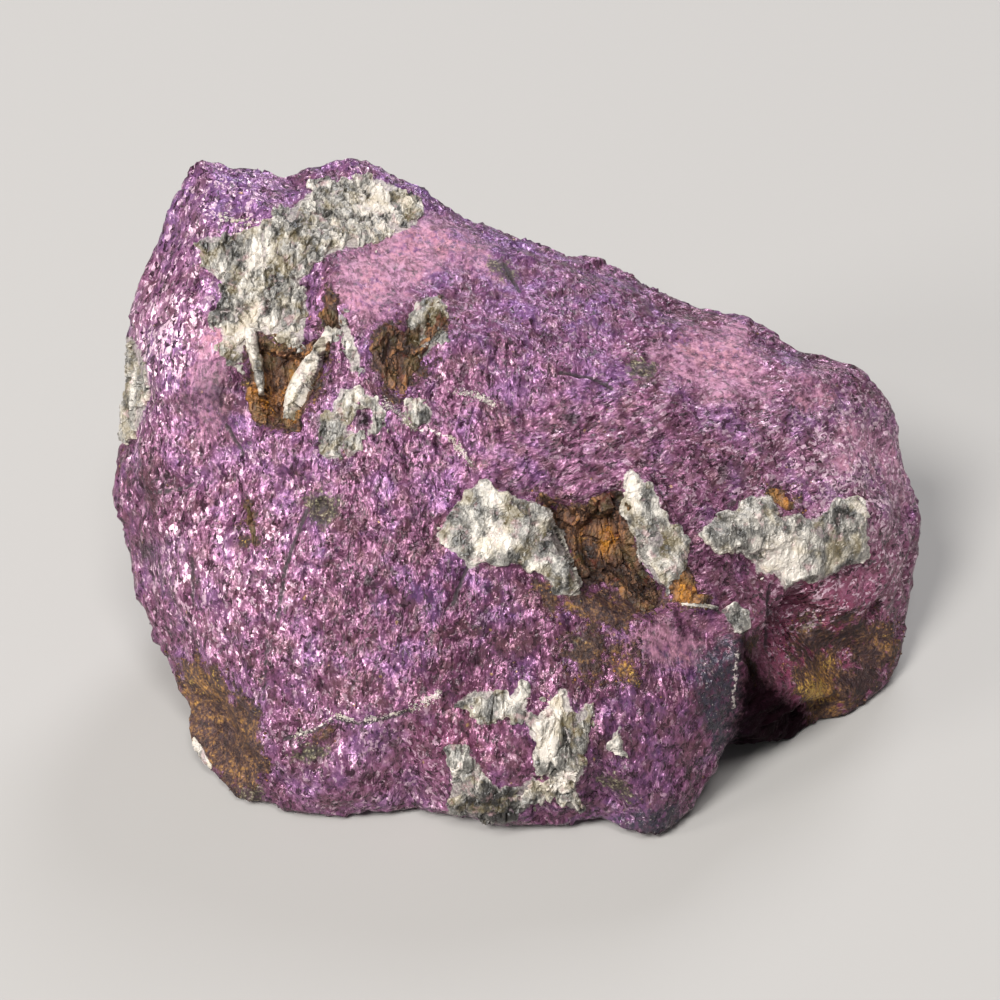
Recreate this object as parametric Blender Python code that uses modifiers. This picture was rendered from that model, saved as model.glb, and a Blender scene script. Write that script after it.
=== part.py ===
"""A rough purpurite specimen: one hackly purple stone with mica crusts, rusty pockets and a deep cleft.

The stone is laid out as it is seen square on to its broad face. Every corner is (across, up, depth) in
millimetres: across and up are where the eye sees it on the plane through the stone's heart, and depth is
how far it stands in front of that plane. The laid-out stone is then leaned back onto its flat base.
"""

import math

import bmesh
import bpy
import numpy as np

MM = 0.001

# The stance: the broad face leans back, and the heart stands this far above the surface
LEAN = math.radians(40)
HEART_HEIGHT = 16.8 * MM
EYE_DISTANCE = 222 * MM
HEART_DEPTH = -6 * MM

# The outline seen square on, clockwise from the peak at the top left
TOP_RIM = [
    (-24.6, 27.0, -4.0),
    (-22.8, 25.8, -5.0),
    (-20.8, 25.8, -5.5),
    (-19.0, 26.6, -5.5),
    (-16.8, 25.7, -6.0),
    (-14.6, 26.6, -6.0),
    (-12.4, 27.2, -6.0),
    (-9.8, 26.6, -6.5),
    (-6.4, 24.6, -6.5),
    (-2.4, 22.2, -7.0),
]
RIGHT_SHOULDER = [
    (1.2, 20.6, -7.0),
    (5.2, 19.5, -7.0),
    (8.4, 18.7, -7.0),
    (12.0, 16.9, -7.0),
    (16.4, 15.0, -7.0),
    (20.8, 14.0, -7.0),
    (24.0, 12.0, -7.0),
    (28.4, 10.6, -8.0),
    (31.2, 8.0, -9.0),
    (31.5, 4.8, -9.0),
]
LOBE_RIM = [
    (32.4, 1.6, -9.0),
    (33.4, -2.0, -9.0),
    (33.2, -4.8, -9.0),
    (32.2, -8.8, -9.0),
    (31.4, -13.6, -8.0),
    (29.6, -16.0, -6.5),
    (27.6, -17.8, -5.0),
    (24.0, -19.2, -3.8),
    (20.6, -19.0, -4.2),
]
FOOT_RIM = [
    (17.6, -19.2, -2.0),
    (16.4, -22.4, 2.6),
    (15.0, -24.8, 4.4),
    (13.4, -26.4, 5.6),
    (11.6, -27.2, 6.2),
    (8.4, -25.4, 5.0),
    (4.8, -25.9, 5.0),
    (0.6, -26.2, 5.0),
    (-3.6, -25.2, 4.2),
    (-6.8, -24.5, 3.6),
    (-13.6, -25.1, 4.0),
    (-18.0, -24.5, 3.4),
    (-20.4, -24.2, 3.0),
]
LEFT_RIM = [
    (-22.8, -22.0, 0.5),
    (-24.4, -19.2, -1.0),
    (-24.8, -16.4, -2.0),
    (-26.8, -12.8, -3.0),
    (-28.2, -9.6, -3.5),
    (-29.2, -6.0, -4.0),
    (-30.6, 0.0, -4.5),
    (-30.0, 4.8, -5.0),
    (-29.8, 12.0, -5.0),
    (-28.8, 17.6, -4.5),
    (-26.2, 23.2, -4.0),
]

# The swells of the broad face, the steep edge beside the cleft, the cleft's bed and the lobe behind it
BROAD_FACE = [
    (-16.0, 21.6, 2.0),
    (-23.2, 20.8, 0.5),
    (-6.4, 22.0, -2.5),
    (-22.0, 9.6, 4.5),
    (-26.8, 12.0, 1.5),
    (-28.0, 2.4, 0.5),
    (-20.0, -8.0, 7.0),
    (-25.2, -8.0, 2.5),
    (-9.6, 13.6, 6.0),
    (-12.0, 0.0, 8.5),
    (-1.6, 6.4, 7.5),
    (4.8, 12.0, 4.0),
    (12.0, 8.0, 4.5),
    (20.8, 6.4, 1.5),
    (27.2, 4.0, -1.5),
    (8.0, 1.6, 7.5),
    (1.6, -8.0, 10.0),
    (-8.0, -16.0, 9.5),
    (-19.2, -19.2, 6.0),
    (-13.6, -23.2, 6.5),
    (-1.6, -22.4, 8.5),
    (8.0, -19.2, 10.0),
    (14.4, -16.0, 9.5),
    (12.0, -24.0, 8.0),
    (16.0, -3.2, 6.5),
    (8.0, 16.8, -1.0),
    (16.0, 13.2, -2.0),
    (25.6, 9.6, -3.0),
]
CLEFT_EDGE = [
    (19.0, -8.6, 6.5),
    (19.6, -11.0, 7.0),
    (19.4, -14.4, 7.0),
    (18.6, -18.4, 5.5),
]
CLEFT_BED = [
    (21.6, -8.4, -1.0),
    (20.9, -12.0, -8.5),
    (20.4, -16.2, -6.8),
    (23.4, -16.6, -6.4),
]
LOBE_FACE = [
    (23.2, -6.4, 2.0),
    (25.6, -11.0, -1.6),
    (28.6, -9.6, -1.4),
    (28.8, -1.6, -0.5),
    (27.6, -14.8, -3.0),
    (24.8, -15.6, -3.8),
    (31.0, -5.6, -3.6),
]

# The hidden side: three fracture faces and the steps between them, then the undercut flanks
BACK = [
    (-22.0, 22.0, -9.5),
    (-10.0, 24.0, -12.0),
    (0.0, 19.2, -12.0),
    (12.0, 14.4, -13.0),
    (24.0, 9.4, -12.5),
    (-25.2, 10.0, -11.0),
    (-15.2, 18.0, -18.5),
    (-5.2, 15.2, -20.0),
    (2.8, 15.2, -15.0),
    (12.4, 10.8, -20.5),
    (21.2, 5.6, -16.5),
    (-21.2, 4.0, -15.0),
    (-12.4, 6.4, -19.5),
    (-4.0, 5.6, -26.5),
    (4.4, 7.2, -19.0),
    (14.4, 3.6, -25.0),
    (25.2, -1.2, -15.5),
    (-19.6, -3.2, -18.5),
    (-9.6, -1.2, -21.5),
    (0.8, 0.8, -25.5),
    (8.4, -2.4, -19.0),
    (17.2, -2.4, -22.0),
    (26.4, -5.6, -15.5),
]
FLANKS = [
    (-28.4, 2.0, -9.5),
    (-26.4, -4.4, -9.0),
    (-24.0, -10.4, -8.5),
    (-20.0, -17.2, -4.5),
    (31.6, 2.0, -13.5),
    (31.6, -4.4, -13.5),
    (30.0, -10.4, -11.5),
    (27.5, -12.6, -11.4),
]
# The base lies a little below the surface, so that the stone is broken off flat there
BASE = [
    (-16.0, -18.0, -5.6),
    (0.0, -18.0, -5.6),
    (11.0, -18.0, -5.6),
    (-14.0, -8.0, -17.5),
    (2.0, -6.0, -19.9),
    (14.0, -8.0, -17.5),
    (24.0, -14.0, -10.3),
    (22.0, -9.0, -16.0),
]

# Rounding draws the corners in, so the cage is this much larger, and the skin has three sizes of lump
CAGE_GROWTH = 1.012
SUBDIVISIONS = 4
ROUNDING_PASSES = 11
SWELLS = (7.0 * MM, 0.9 * MM)
LUMPS = (2.6 * MM, 0.55 * MM)
HACKLES = (1.1 * MM, 0.22 * MM)

# Relief on the broad face, each crust raised and each pocket sunk: its height, the width of its edge and its
# outline as it is seen square on
FRONT_RELIEF = {
    "top_band": (
        -0.5,
        0.5,
        [(-24.0, 20.8), (-21.4, 21.8), (-18.6, 21.4), (-13.6, 24.8), (-9.8, 26.0), (-6.2, 23.6)]
        + [(-9.6, 20.8), (-14.6, 19.4), (-15.4, 14.0), (-19.0, 12.6), (-21.1, 10.6), (-22.6, 15.2)],
    ),
    "middle_plate": (
        0.5,
        0.4,
        [(-5.0, -2.2), (-3.0, 0.6), (-0.8, 1.1), (3.2, -0.8), (5.8, -5.0), (6.4, -7.2), (3.6, -5.6)]
        + [(-0.8, -4.6), (-3.6, -4.4)],
    ),
    "upright_plate": (
        0.7,
        0.4,
        [(10.2, 1.8), (11.8, 1.6), (14.4, -2.0), (15.0, -4.2), (13.4, -7.4), (12.0, -6.0), (9.8, -0.4)],
    ),
    "right_plate": (
        0.4,
        0.4,
        [(16.4, -3.2), (19.6, -0.8), (21.2, 0.2), (25.6, -1.6), (26.8, -0.2), (29.0, -0.8)]
        + [(29.0, -4.4), (24.8, -6.4), (22.8, -6.8), (21.6, -4.8)],
    ),
    "foot_crust": (
        0.45,
        0.5,
        [(3.6, -15.2), (5.2, -15.2), (7.0, -19.0), (6.6, -24.0), (4.4, -25.0), (3.2, -21.6)]
        + [(2.4, -18.4)],
    ),
    "corner_crust": (
        0.35,
        0.5,
        [(-4.0, -20.8), (-2.8, -20.4), (-1.2, -23.2), (3.0, -22.8), (2.8, -24.6), (0.0, -26.2)]
        + [(-3.6, -25.0)],
    ),
    "blade_pocket": (
        -1.5,
        0.6,
        [(-20.4, 12.4), (-14.4, 12.8), (-13.6, 11.4), (-16.8, 6.0), (-19.6, 5.8)],
    ),
    "rusty_hollow": (
        -0.7,
        1.2,
        [(-10.4, 12.4), (-7.6, 14.0), (-4.6, 14.4), (-5.0, 9.6), (-8.8, 8.0)],
    ),
    "rusty_pocket": (
        -1.9,
        0.7,
        [(3.6, 0.0), (6.0, -0.8), (9.6, 0.4), (11.2, -3.6), (13.4, -8.2), (12.8, -9.0)]
        + [(8.8, -8.4), (6.2, -7.0)],
    ),
    "lobe_scar": (
        -0.9,
        0.9,
        [(25.2, -10.6), (27.6, -9.2), (30.6, -8.4), (31.0, -11.6), (28.6, -15.2), (26.0, -15.6)],
    ),
    "foot_scoop": (
        -0.8,
        1.2,
        [(-24.8, -15.0), (-22.4, -16.0), (-19.8, -21.0), (-20.4, -23.2), (-23.6, -20.0)],
    ),
    "left_step": (
        -0.4,
        0.6,
        [(-31.0, 12.4), (-29.2, 12.0), (-27.8, 8.0), (-29.4, 3.6), (-31.0, 4.0)],
    ),
}
# The same on the hidden side, broken into ledges and scars
BACK_RELIEF = {
    "upper_ledge": (
        1.3,
        0.9,
        [(-18.0, 20.0), (-9.0, 21.0), (2.0, 17.0), (-0.6, 12.4), (-8.0, 14.0), (-12.0, 10.6)]
        + [(-17.0, 14.0)],
    ),
    "side_ledge": (
        -1.5,
        0.8,
        [(6.0, 13.0), (20.0, 9.6), (27.0, 3.0), (22.6, 0.6), (18.0, 5.0), (12.0, 3.6), (7.0, 8.0)],
    ),
    "scar": (
        -1.5,
        1.2,
        [(-19.6, 8.0), (-15.0, 10.0), (-12.0, 7.4), (-7.0, 5.0), (-11.0, -3.0), (-16.0, -0.4)]
        + [(-18.6, -1.0)],
    ),
    "low_plate": (
        1.0,
        0.6,
        [(-3.0, 4.6), (2.0, 7.4), (5.6, 4.4), (10.0, 1.0), (5.0, -2.0), (6.0, -5.4), (-2.0, -3.0)],
    ),
    "small_pit": (
        -1.0,
        0.6,
        [(11.6, -1.6), (14.0, 0.6), (16.0, 0.0), (18.4, -4.0), (14.0, -6.0)],
    ),
}

# Relief fades out where the skin turns edge on, and the stone keeps this many triangles
FACING_GAIN = 3
MOST_TRIANGLES = 9600


def clear_scene():
    for old in list(bpy.data.objects):
        bpy.data.objects.remove(old)


def stand_up(corners):
    """Turns (across, up, depth) in metres into points of the standing stone."""
    across, up, depth = np.asarray(corners, float).T
    nearer = 1 - depth / EYE_DISTANCE
    across, up = across * nearer, up * nearer
    return np.column_stack(
        [
            across,
            up * math.sin(LEAN) - depth * math.cos(LEAN),
            up * math.cos(LEAN) + depth * math.sin(LEAN) + HEART_HEIGHT,
        ]
    )


def stone_cage():
    """A coarse closed cage: each corner is joined to those beside it, as they are seen from the heart."""
    corners = TOP_RIM + RIGHT_SHOULDER + LOBE_RIM + FOOT_RIM + LEFT_RIM
    corners += BROAD_FACE + CLEFT_EDGE + CLEFT_BED + LOBE_FACE + BACK + FLANKS + BASE
    points = stand_up(np.array(corners) * MM)
    heart = stand_up([(0, 0, HEART_DEPTH)])[0]
    points = heart + (points - heart) * CAGE_GROWTH
    reach = np.linalg.norm(points - heart, axis=1)
    cage = bmesh.new()
    for toward in (points - heart) / reach[:, None]:
        cage.verts.new(toward)
    bmesh.ops.convex_hull(cage, input=cage.verts)
    cage.verts.ensure_lookup_table()
    for vert, point in zip(cage.verts, points):
        vert.co = point
    bmesh.ops.recalc_face_normals(cage, faces=cage.faces)
    return cage


def add_noise(stone, name, size, depth):
    """Lumps of one size, half of each standing out and half sunk in."""
    texture = bpy.data.textures.new(name, "CLOUDS")
    texture.noise_scale = size
    texture.noise_depth = 2
    displace = stone.modifiers.new(name, "DISPLACE")
    displace.texture = texture
    displace.texture_coords = "LOCAL"
    displace.strength = depth
    displace.mid_level = 0.5


def rough_stone():
    """The cage subdivided, its corners rounded and its skin made lumpy."""
    cage = stone_cage()
    mesh = bpy.data.meshes.new("purpurite_stone")
    cage.to_mesh(mesh)
    cage.free()
    stone = bpy.data.objects.new("purpurite_stone", mesh)
    split = stone.modifiers.new("split", "SUBSURF")
    split.subdivision_type = "SIMPLE"
    split.levels = split.render_levels = SUBDIVISIONS
    soften = stone.modifiers.new("soften", "SMOOTH")
    soften.iterations = ROUNDING_PASSES
    add_noise(stone, "swells", *SWELLS)
    add_noise(stone, "lumps", *LUMPS)
    add_noise(stone, "hackles", *HACKLES)
    return stone


def make_mesh(stone):
    """Fixes the modifiers' result as the stone's own mesh."""
    bpy.context.view_layer.update()
    seen = stone.evaluated_get(bpy.context.evaluated_depsgraph_get())
    mesh = bpy.data.meshes.new_from_object(seen)
    stone.modifiers.clear()
    stone.data = mesh


def lay_flat(points):
    """The reverse of stand_up: across, up and depth of points of the standing stone."""
    x, y, z = points.T
    z = z - HEART_HEIGHT
    depth = z * math.sin(LEAN) - y * math.cos(LEAN)
    nearer = 1 - depth / EYE_DISTANCE
    return x / nearer, (y * math.sin(LEAN) + z * math.cos(LEAN)) / nearer, depth


def inside_by(across, up, outline):
    """How far each point is inside a closed outline, and negative outside it."""
    corners = np.array(outline) * MM
    nearest = np.full(len(across), np.inf)
    inside = np.zeros(len(across), bool)
    for (ax, ay), (bx, by) in zip(corners, np.roll(corners, -1, axis=0)):
        side_x, side_y = bx - ax, by - ay
        along = ((across - ax) * side_x + (up - ay) * side_y) / (side_x**2 + side_y**2)
        along = np.clip(along, 0, 1)
        gap = np.hypot(across - ax - along * side_x, up - ay - along * side_y)
        nearest = np.minimum(nearest, gap)
        if side_y:
            crosses = (up < ay) != (up < by)
            inside ^= crosses & (across < ax + (up - ay) * side_x / side_y)
    return np.where(inside, nearest, -nearest)


def carve(stone, relief, side):
    """Raises or sinks each outline of the relief out of the skin, on the side that faces this way."""
    verts = stone.data.vertices
    points = np.empty(len(verts) * 3, np.float32)
    verts.foreach_get("co", points)
    points = points.reshape(-1, 3).astype(float)
    normals = np.array([vert.normal for vert in verts])
    across, up, _ = lay_flat(points)
    facing = np.clip(normals @ side * FACING_GAIN, 0, 1)
    for height, edge, outline in relief.values():
        share = np.clip(inside_by(across, up, outline) / (edge * MM) + 0.5, 0, 1)
        points += normals * (height * MM * share * facing)[:, None]
    verts.foreach_set("co", points.astype(np.float32).ravel())
    stone.data.update()


def thin_out(stone):
    """Keeps the triangles where the shape needs them."""
    thin = stone.modifiers.new("thin", "DECIMATE")
    triangles = sum(len(face.vertices) - 2 for face in stone.data.polygons)
    thin.ratio = min(1, MOST_TRIANGLES / triangles)
    make_mesh(stone)


def cut_base(stone):
    """Breaks the stone off flat where it rests, at z = 0."""
    mesh = stone.data
    work = bmesh.new()
    work.from_mesh(mesh)
    cut = bmesh.ops.bisect_plane(
        work,
        geom=work.verts[:] + work.edges[:] + work.faces[:],
        plane_co=(0, 0, 0),
        plane_no=(0, 0, 1),
        clear_inner=True,
    )
    ring = [item for item in cut["geom_cut"] if isinstance(item, bmesh.types.BMEdge)]
    bmesh.ops.holes_fill(work, edges=ring, sides=0)
    bmesh.ops.triangulate(work, faces=work.faces)
    bmesh.ops.recalc_face_normals(work, faces=work.faces)
    work.to_mesh(mesh)
    work.free()


def purple():
    material = bpy.data.materials.new("purpurite")
    material.use_nodes = True
    shader = material.node_tree.nodes["Principled BSDF"]
    shader.inputs["Base Color"].default_value = (0.22, 0.065, 0.18, 1)
    shader.inputs["Metallic"].default_value = 0.2
    shader.inputs["Roughness"].default_value = 0.45
    return material


def main():
    clear_scene()
    specimen = bpy.data.collections.new("purpurite_specimen")
    bpy.context.scene.collection.children.link(specimen)
    stone = rough_stone()
    specimen.objects.link(stone)
    make_mesh(stone)
    toward_eye = np.array([0, -math.cos(LEAN), math.sin(LEAN)])
    carve(stone, FRONT_RELIEF, toward_eye)
    carve(stone, BACK_RELIEF, -toward_eye)
    thin_out(stone)
    cut_base(stone)
    stone.data.materials.append(purple())


main()
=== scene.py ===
import math

import bmesh
import bpy
import numpy as np
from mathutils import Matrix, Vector
from mathutils.bvhtree import BVHTree


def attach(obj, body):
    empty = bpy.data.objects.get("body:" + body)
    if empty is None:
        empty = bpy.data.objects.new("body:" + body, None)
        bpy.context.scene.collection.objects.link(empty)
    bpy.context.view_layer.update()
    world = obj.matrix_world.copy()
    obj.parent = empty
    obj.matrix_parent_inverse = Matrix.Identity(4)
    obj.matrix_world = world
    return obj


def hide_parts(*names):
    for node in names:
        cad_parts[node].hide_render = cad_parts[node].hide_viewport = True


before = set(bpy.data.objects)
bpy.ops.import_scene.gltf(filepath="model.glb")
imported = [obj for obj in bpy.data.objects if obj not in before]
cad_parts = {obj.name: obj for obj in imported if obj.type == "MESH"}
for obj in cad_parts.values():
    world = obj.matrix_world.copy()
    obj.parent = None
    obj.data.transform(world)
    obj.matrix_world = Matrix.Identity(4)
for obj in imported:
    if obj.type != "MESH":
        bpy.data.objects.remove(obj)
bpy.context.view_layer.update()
mm = 0.001

# How the stone stands to the eye: the broad face leans back, and its heart is this far above the surface
stance = {"lean": math.radians(40), "heartHeight": 16.8 * mm, "eyeDistance": 222 * mm, "heartDepth": -6 * mm}
leanSin, leanCos = math.sin(stance["lean"]), math.cos(stance["lean"])
towardEye = np.array([0, -leanCos, leanSin])
upTheFace = np.array([0, leanSin, leanCos])
alongX = np.array([1.0, 0, 0])


def standUp(corners):
    # (across, up, depth) in metres, as seen square on, becomes a point of the standing stone
    across, up, depth = np.asarray(corners, float).T
    nearer = 1 - depth / stance["eyeDistance"]
    across, up = across * nearer, up * nearer
    height = up * leanCos + depth * leanSin + stance["heartHeight"]
    return np.column_stack([across, up * leanSin - depth * leanCos, height])


def layFlat(points):
    # The reverse of standUp: across, up and depth of points of the standing stone
    x, y, z = points.T
    z = z - stance["heartHeight"]
    depth = z * leanSin - y * leanCos
    nearer = 1 - depth / stance["eyeDistance"]
    return x / nearer, (y * leanSin + z * leanCos) / nearer, depth


# Numbers that look random but are the same on each run, from large odd factors and shifts
hashing = {
    "x": 73856093,
    "y": 19349663,
    "z": 83492791,
    "seed": 2654435,
    "first": 2246822519,
    "last": 3266489917,
    "low": 0xFFFFFFFF,  # keeps the lowest 32 bits
}


def latticeRandom(cells, seed):
    # One number from 0 to 1 for each whole-number cell (rows of three indices)
    low = hashing["low"]
    mixed = cells[:, 0] * hashing["x"] ^ cells[:, 1] * hashing["y"] ^ cells[:, 2] * hashing["z"]
    mixed = (mixed ^ seed * hashing["seed"]) & low
    mixed = (mixed ^ (mixed >> 15)) * hashing["first"] & low
    mixed = (mixed ^ (mixed >> 13)) * hashing["last"] & low
    return (mixed ^ (mixed >> 16)) / 2.0**32


def eased(t):
    # 3t² − 2t³: level at 0 and at 1, with a smooth slope between
    return t * t * (3 - 2 * t)


def cloud(points, size, seed, octaves=1):
    # Random heights at the corners of cubes of this size, blended along each side, from −1 to 1. Each further
    # octave is half the size and half the height
    total, share = 0, 1.0
    for octave in range(octaves):
        place = points / (size / 2**octave)
        cell = np.floor(place).astype(np.int64)
        t = eased(place - cell)
        height = 0
        for corner in np.ndindex(2, 2, 2):
            weight = np.prod(np.where(corner, t, 1 - t), axis=1)
            height = height + weight * latticeRandom(cell + corner, seed + octave)
        total = total + (2 * height - 1) * share
        share /= 2
    return total


def cells(points, size, seed):
    # Space is shared among scattered seeds, one in each cube of this size. Gives the height of each cell's
    # own tilted plane through its seed, a random number for the cell, and how far off the cell's edge is
    place = points / size
    home = np.floor(place).astype(np.int64)
    nearest = np.full(len(points), 9.0)  # farther than any seed of the 27 cubes around
    second = nearest.copy()
    height, chance = np.zeros(len(points)), np.zeros(len(points))
    for step in np.ndindex(3, 3, 3):
        cell = home + np.array(step) - 1
        away = place - cell - np.column_stack([latticeRandom(cell, seed + k) for k in range(3)])
        gap = np.linalg.norm(away, axis=1)
        closer = gap < nearest
        second = np.where(closer, nearest, np.minimum(second, gap))
        nearest = np.where(closer, gap, nearest)
        tilt = np.column_stack([latticeRandom(cell, seed + 3 + k) for k in range(3)]) * 2 - 1
        height = np.where(closer, (away * tilt).sum(1), height)
        chance = np.where(closer, latticeRandom(cell, seed + 6), chance)
    return height, chance, second - nearest


def stretched(points, grain, by):
    # Points squeezed along the fibre direction, so that a pattern read at them is drawn out by this factor
    along = (points * grain).sum(1)
    return points - grain * (along * (1 - 1 / by))[:, None]


def gapToLine(across, up, route):
    # How far each point is from a line through the route's points (given in millimetres), in metres
    corners = np.array(route) * mm
    nearest = np.full(len(across), np.inf)
    for (ax, ay), (bx, by) in zip(corners[:-1], corners[1:]):
        sideX, sideY = bx - ax, by - ay
        along = np.clip(((across - ax) * sideX + (up - ay) * sideY) / (sideX**2 + sideY**2), 0, 1)
        nearest = np.minimum(nearest, np.hypot(across - ax - along * sideX, up - ay - along * sideY))
    return nearest


def insideBy(across, up, outline):
    # How far each point is inside a closed outline, negative outside: the nearest side's distance, with its
    # sign from how many sides a line to the right crosses
    nearest = gapToLine(across, up, outline + outline[:1])
    corners = np.array(outline) * mm
    inside = np.zeros(len(across), bool)
    for (ax, ay), (bx, by) in zip(corners, np.roll(corners, -1, axis=0)):
        if by != ay:
            crosses = (up < ay) != (up < by)
            inside ^= crosses & (across < ax + (up - ay) * (bx - ax) / (by - ay))
    return np.where(inside, nearest, -nearest)


# Mesh building from whole arrays
def buildMesh(name, points, loops, starts):
    mesh = bpy.data.meshes.new(name)
    mesh.vertices.add(len(points))
    mesh.vertices.foreach_set("co", np.asarray(points, np.float32).ravel())
    mesh.loops.add(len(loops))
    mesh.loops.foreach_set("vertex_index", np.asarray(loops, np.int32))
    mesh.polygons.add(len(starts))
    mesh.polygons.foreach_set("loop_start", np.asarray(starts, np.int32))
    mesh.update(calc_edges=True)
    return mesh


def joinCopies(name, points, faces):
    # points is copies × corners × 3, and every copy has the same faces
    copies, corners = points.shape[:2]
    loops = np.concatenate(faces)
    starts = np.concatenate([[0], np.cumsum([len(face) for face in faces])[:-1]])
    allLoops = loops[None] + np.arange(copies)[:, None] * corners
    allStarts = starts[None] + np.arange(copies)[:, None] * len(loops)
    return buildMesh(name, points.reshape(-1, 3), allLoops.ravel(), allStarts.ravel())


def addValues(mesh, name, values):
    mesh.attributes.new(name, "FLOAT", "POINT").data.foreach_set("value", np.asarray(values, np.float32))


def placePiece(name, mesh, material, smooth):
    piece = bpy.data.objects.new(name, mesh)
    bpy.context.scene.collection.objects.link(piece)
    mesh.materials.append(material)
    mesh.polygons.foreach_set("use_smooth", np.full(len(mesh.polygons), smooth))
    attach(piece, "root")
    print(f"{name}: {sum(len(p.vertices) - 2 for p in mesh.polygons)} triangles")
    return piece


# The stone's skin: six square grids, as on a cube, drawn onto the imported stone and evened, coarse to fine
skin = {
    "heldPasses": {16: 6, 32: 4, 64: 3, 128: 2},  # cells along a side: evening passes held to the stone
    "frontPull": 0.9,      # how much closer the points lie on the side that faces the eye
    "freePasses": 1,       # last passes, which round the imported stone's flat facets
    "ballReach": 60 * mm,  # radius of the ball from which the points are drawn in
}


def blockGrid(n):
    # Six grids of n by n cells on a cube: its corners in whole numbers, each shared one once, and the quads
    step = np.arange(n + 1) * 2 - n
    u, v = np.meshgrid(step, step, indexing="ij")
    far = np.full_like(u, n)
    sides = [(far, u, v), (-far, v, u), (v, far, u), (u, -far, v), (u, v, far), (v, u, -far)]
    corners = np.stack([np.stack(side, axis=-1) for side in sides])
    single, first, index = np.unique(corners.reshape(-1, 3), axis=0, return_index=True, return_inverse=True)
    index = index.reshape(6, n + 1, n + 1)
    quads = np.stack([index[:, :-1, :-1], index[:, 1:, :-1], index[:, 1:, 1:], index[:, :-1, 1:]], axis=-1)
    return single, first, index, quads.reshape(-1, 4)


def vertexNormals(points, quads):
    # Each quad's area vector is half the cross product of its diagonals; a point sums those of its quads
    a, b, c, d = (points[quads[:, k]] for k in range(4))
    area = np.cross(c - a, d - b) / 2
    total = np.zeros_like(points)
    for k in range(4):
        for axis in range(3):
            total[:, axis] += np.bincount(quads[:, k], area[:, axis], len(points))
    reach = np.linalg.norm(total, axis=1)
    return total / reach[:, None], reach / 4


def landed(tree, starts, ways):
    # Where a ray from each start meets the tree's surface; the start itself where it meets nothing
    hits = [tree.ray_cast(start, way)[0] for start, way in zip(starts.tolist(), ways.tolist())]
    return np.array([hit or start for hit, start in zip(hits, starts.tolist())])


def evened(points, quads, pull):
    # Each point goes to the mean of its neighbours, those with more pull counting for more
    pairs = np.concatenate([quads[:, [k, (k + 1) % 4]] for k in range(4)])
    total, weight = np.zeros_like(points), np.zeros(len(points))
    for here, there in ((pairs[:, 0], pairs[:, 1]), (pairs[:, 1], pairs[:, 0])):
        weight += np.bincount(here, pull[there], len(points))
        for axis in range(3):
            total[:, axis] += np.bincount(here, points[there, axis] * pull[there], len(points))
    return total / weight[:, None]


def wrappedStone():
    # Points are drawn in from a ball round the stone's heart, as from there no part hides another
    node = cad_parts["purpurite_stone"]
    work = bmesh.new()
    work.from_mesh(node.data)
    work.transform(node.matrix_world)
    tree = BVHTree.FromBMesh(work)
    work.free()
    heart = standUp([(0, 0, stance["heartDepth"])])[0]

    def fromBall(points):
        toward = points - heart
        toward /= np.linalg.norm(toward, axis=1)[:, None]
        return landed(tree, heart + toward * skin["ballReach"], -toward)

    grid = None
    for n, passes in skin["heldPasses"].items():
        corners, first, index, quads = blockGrid(n)
        if grid is None:
            points = fromBall(heart + np.tan(corners / n * math.pi / 4))
        else:
            fine = np.empty((6, n + 1, n + 1, 3))
            fine[:, ::2, ::2] = grid
            fine[:, 1::2, ::2] = (grid[:, 1:] + grid[:, :-1]) / 2
            fine[:, :, 1::2] = (fine[:, :, 2::2] + fine[:, :, :-2:2]) / 2
            points = fine.reshape(-1, 3)[first]
        for _ in range(passes):
            normals, _ = vertexNormals(points, quads)
            pull = 1 + skin["frontPull"] * np.clip(normals @ towardEye * 2 + 0.5, 0, 1)
            points = fromBall((points + evened(points, quads, pull)) / 2)
        grid = points[index]
    for _ in range(skin["freePasses"]):
        points = evened(points, quads, np.ones(len(points)))
    return points, quads


print("drawing the skin onto the packed stone")
points, quads = wrappedStone()
normals, _ = vertexNormals(points, quads)
across, up, _ = layFlat(points)
facing = normals @ towardEye
lobeStart = 17 * mm   # to the right of this the lobe lies behind the block, and is no ledge
cleftStart = 18 * mm  # and the cleft runs on to the hidden side


def onLedge():
    # Whether each point that faces the eye is behind another part of the stone, as the back's ledge is
    tree = BVHTree.FromPolygons(points.tolist(), quads.tolist())
    starts = points + normals * 0.4 * mm
    behind = [tree.ray_cast(start, towardEye)[0] is not None for start in starts.tolist()]
    return np.array(behind) & (facing > -0.2) & (across < lobeStart)


ledge = onLedge()
facing = np.where(ledge, -0.5, facing)  # a ledge belongs to the hidden side

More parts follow.
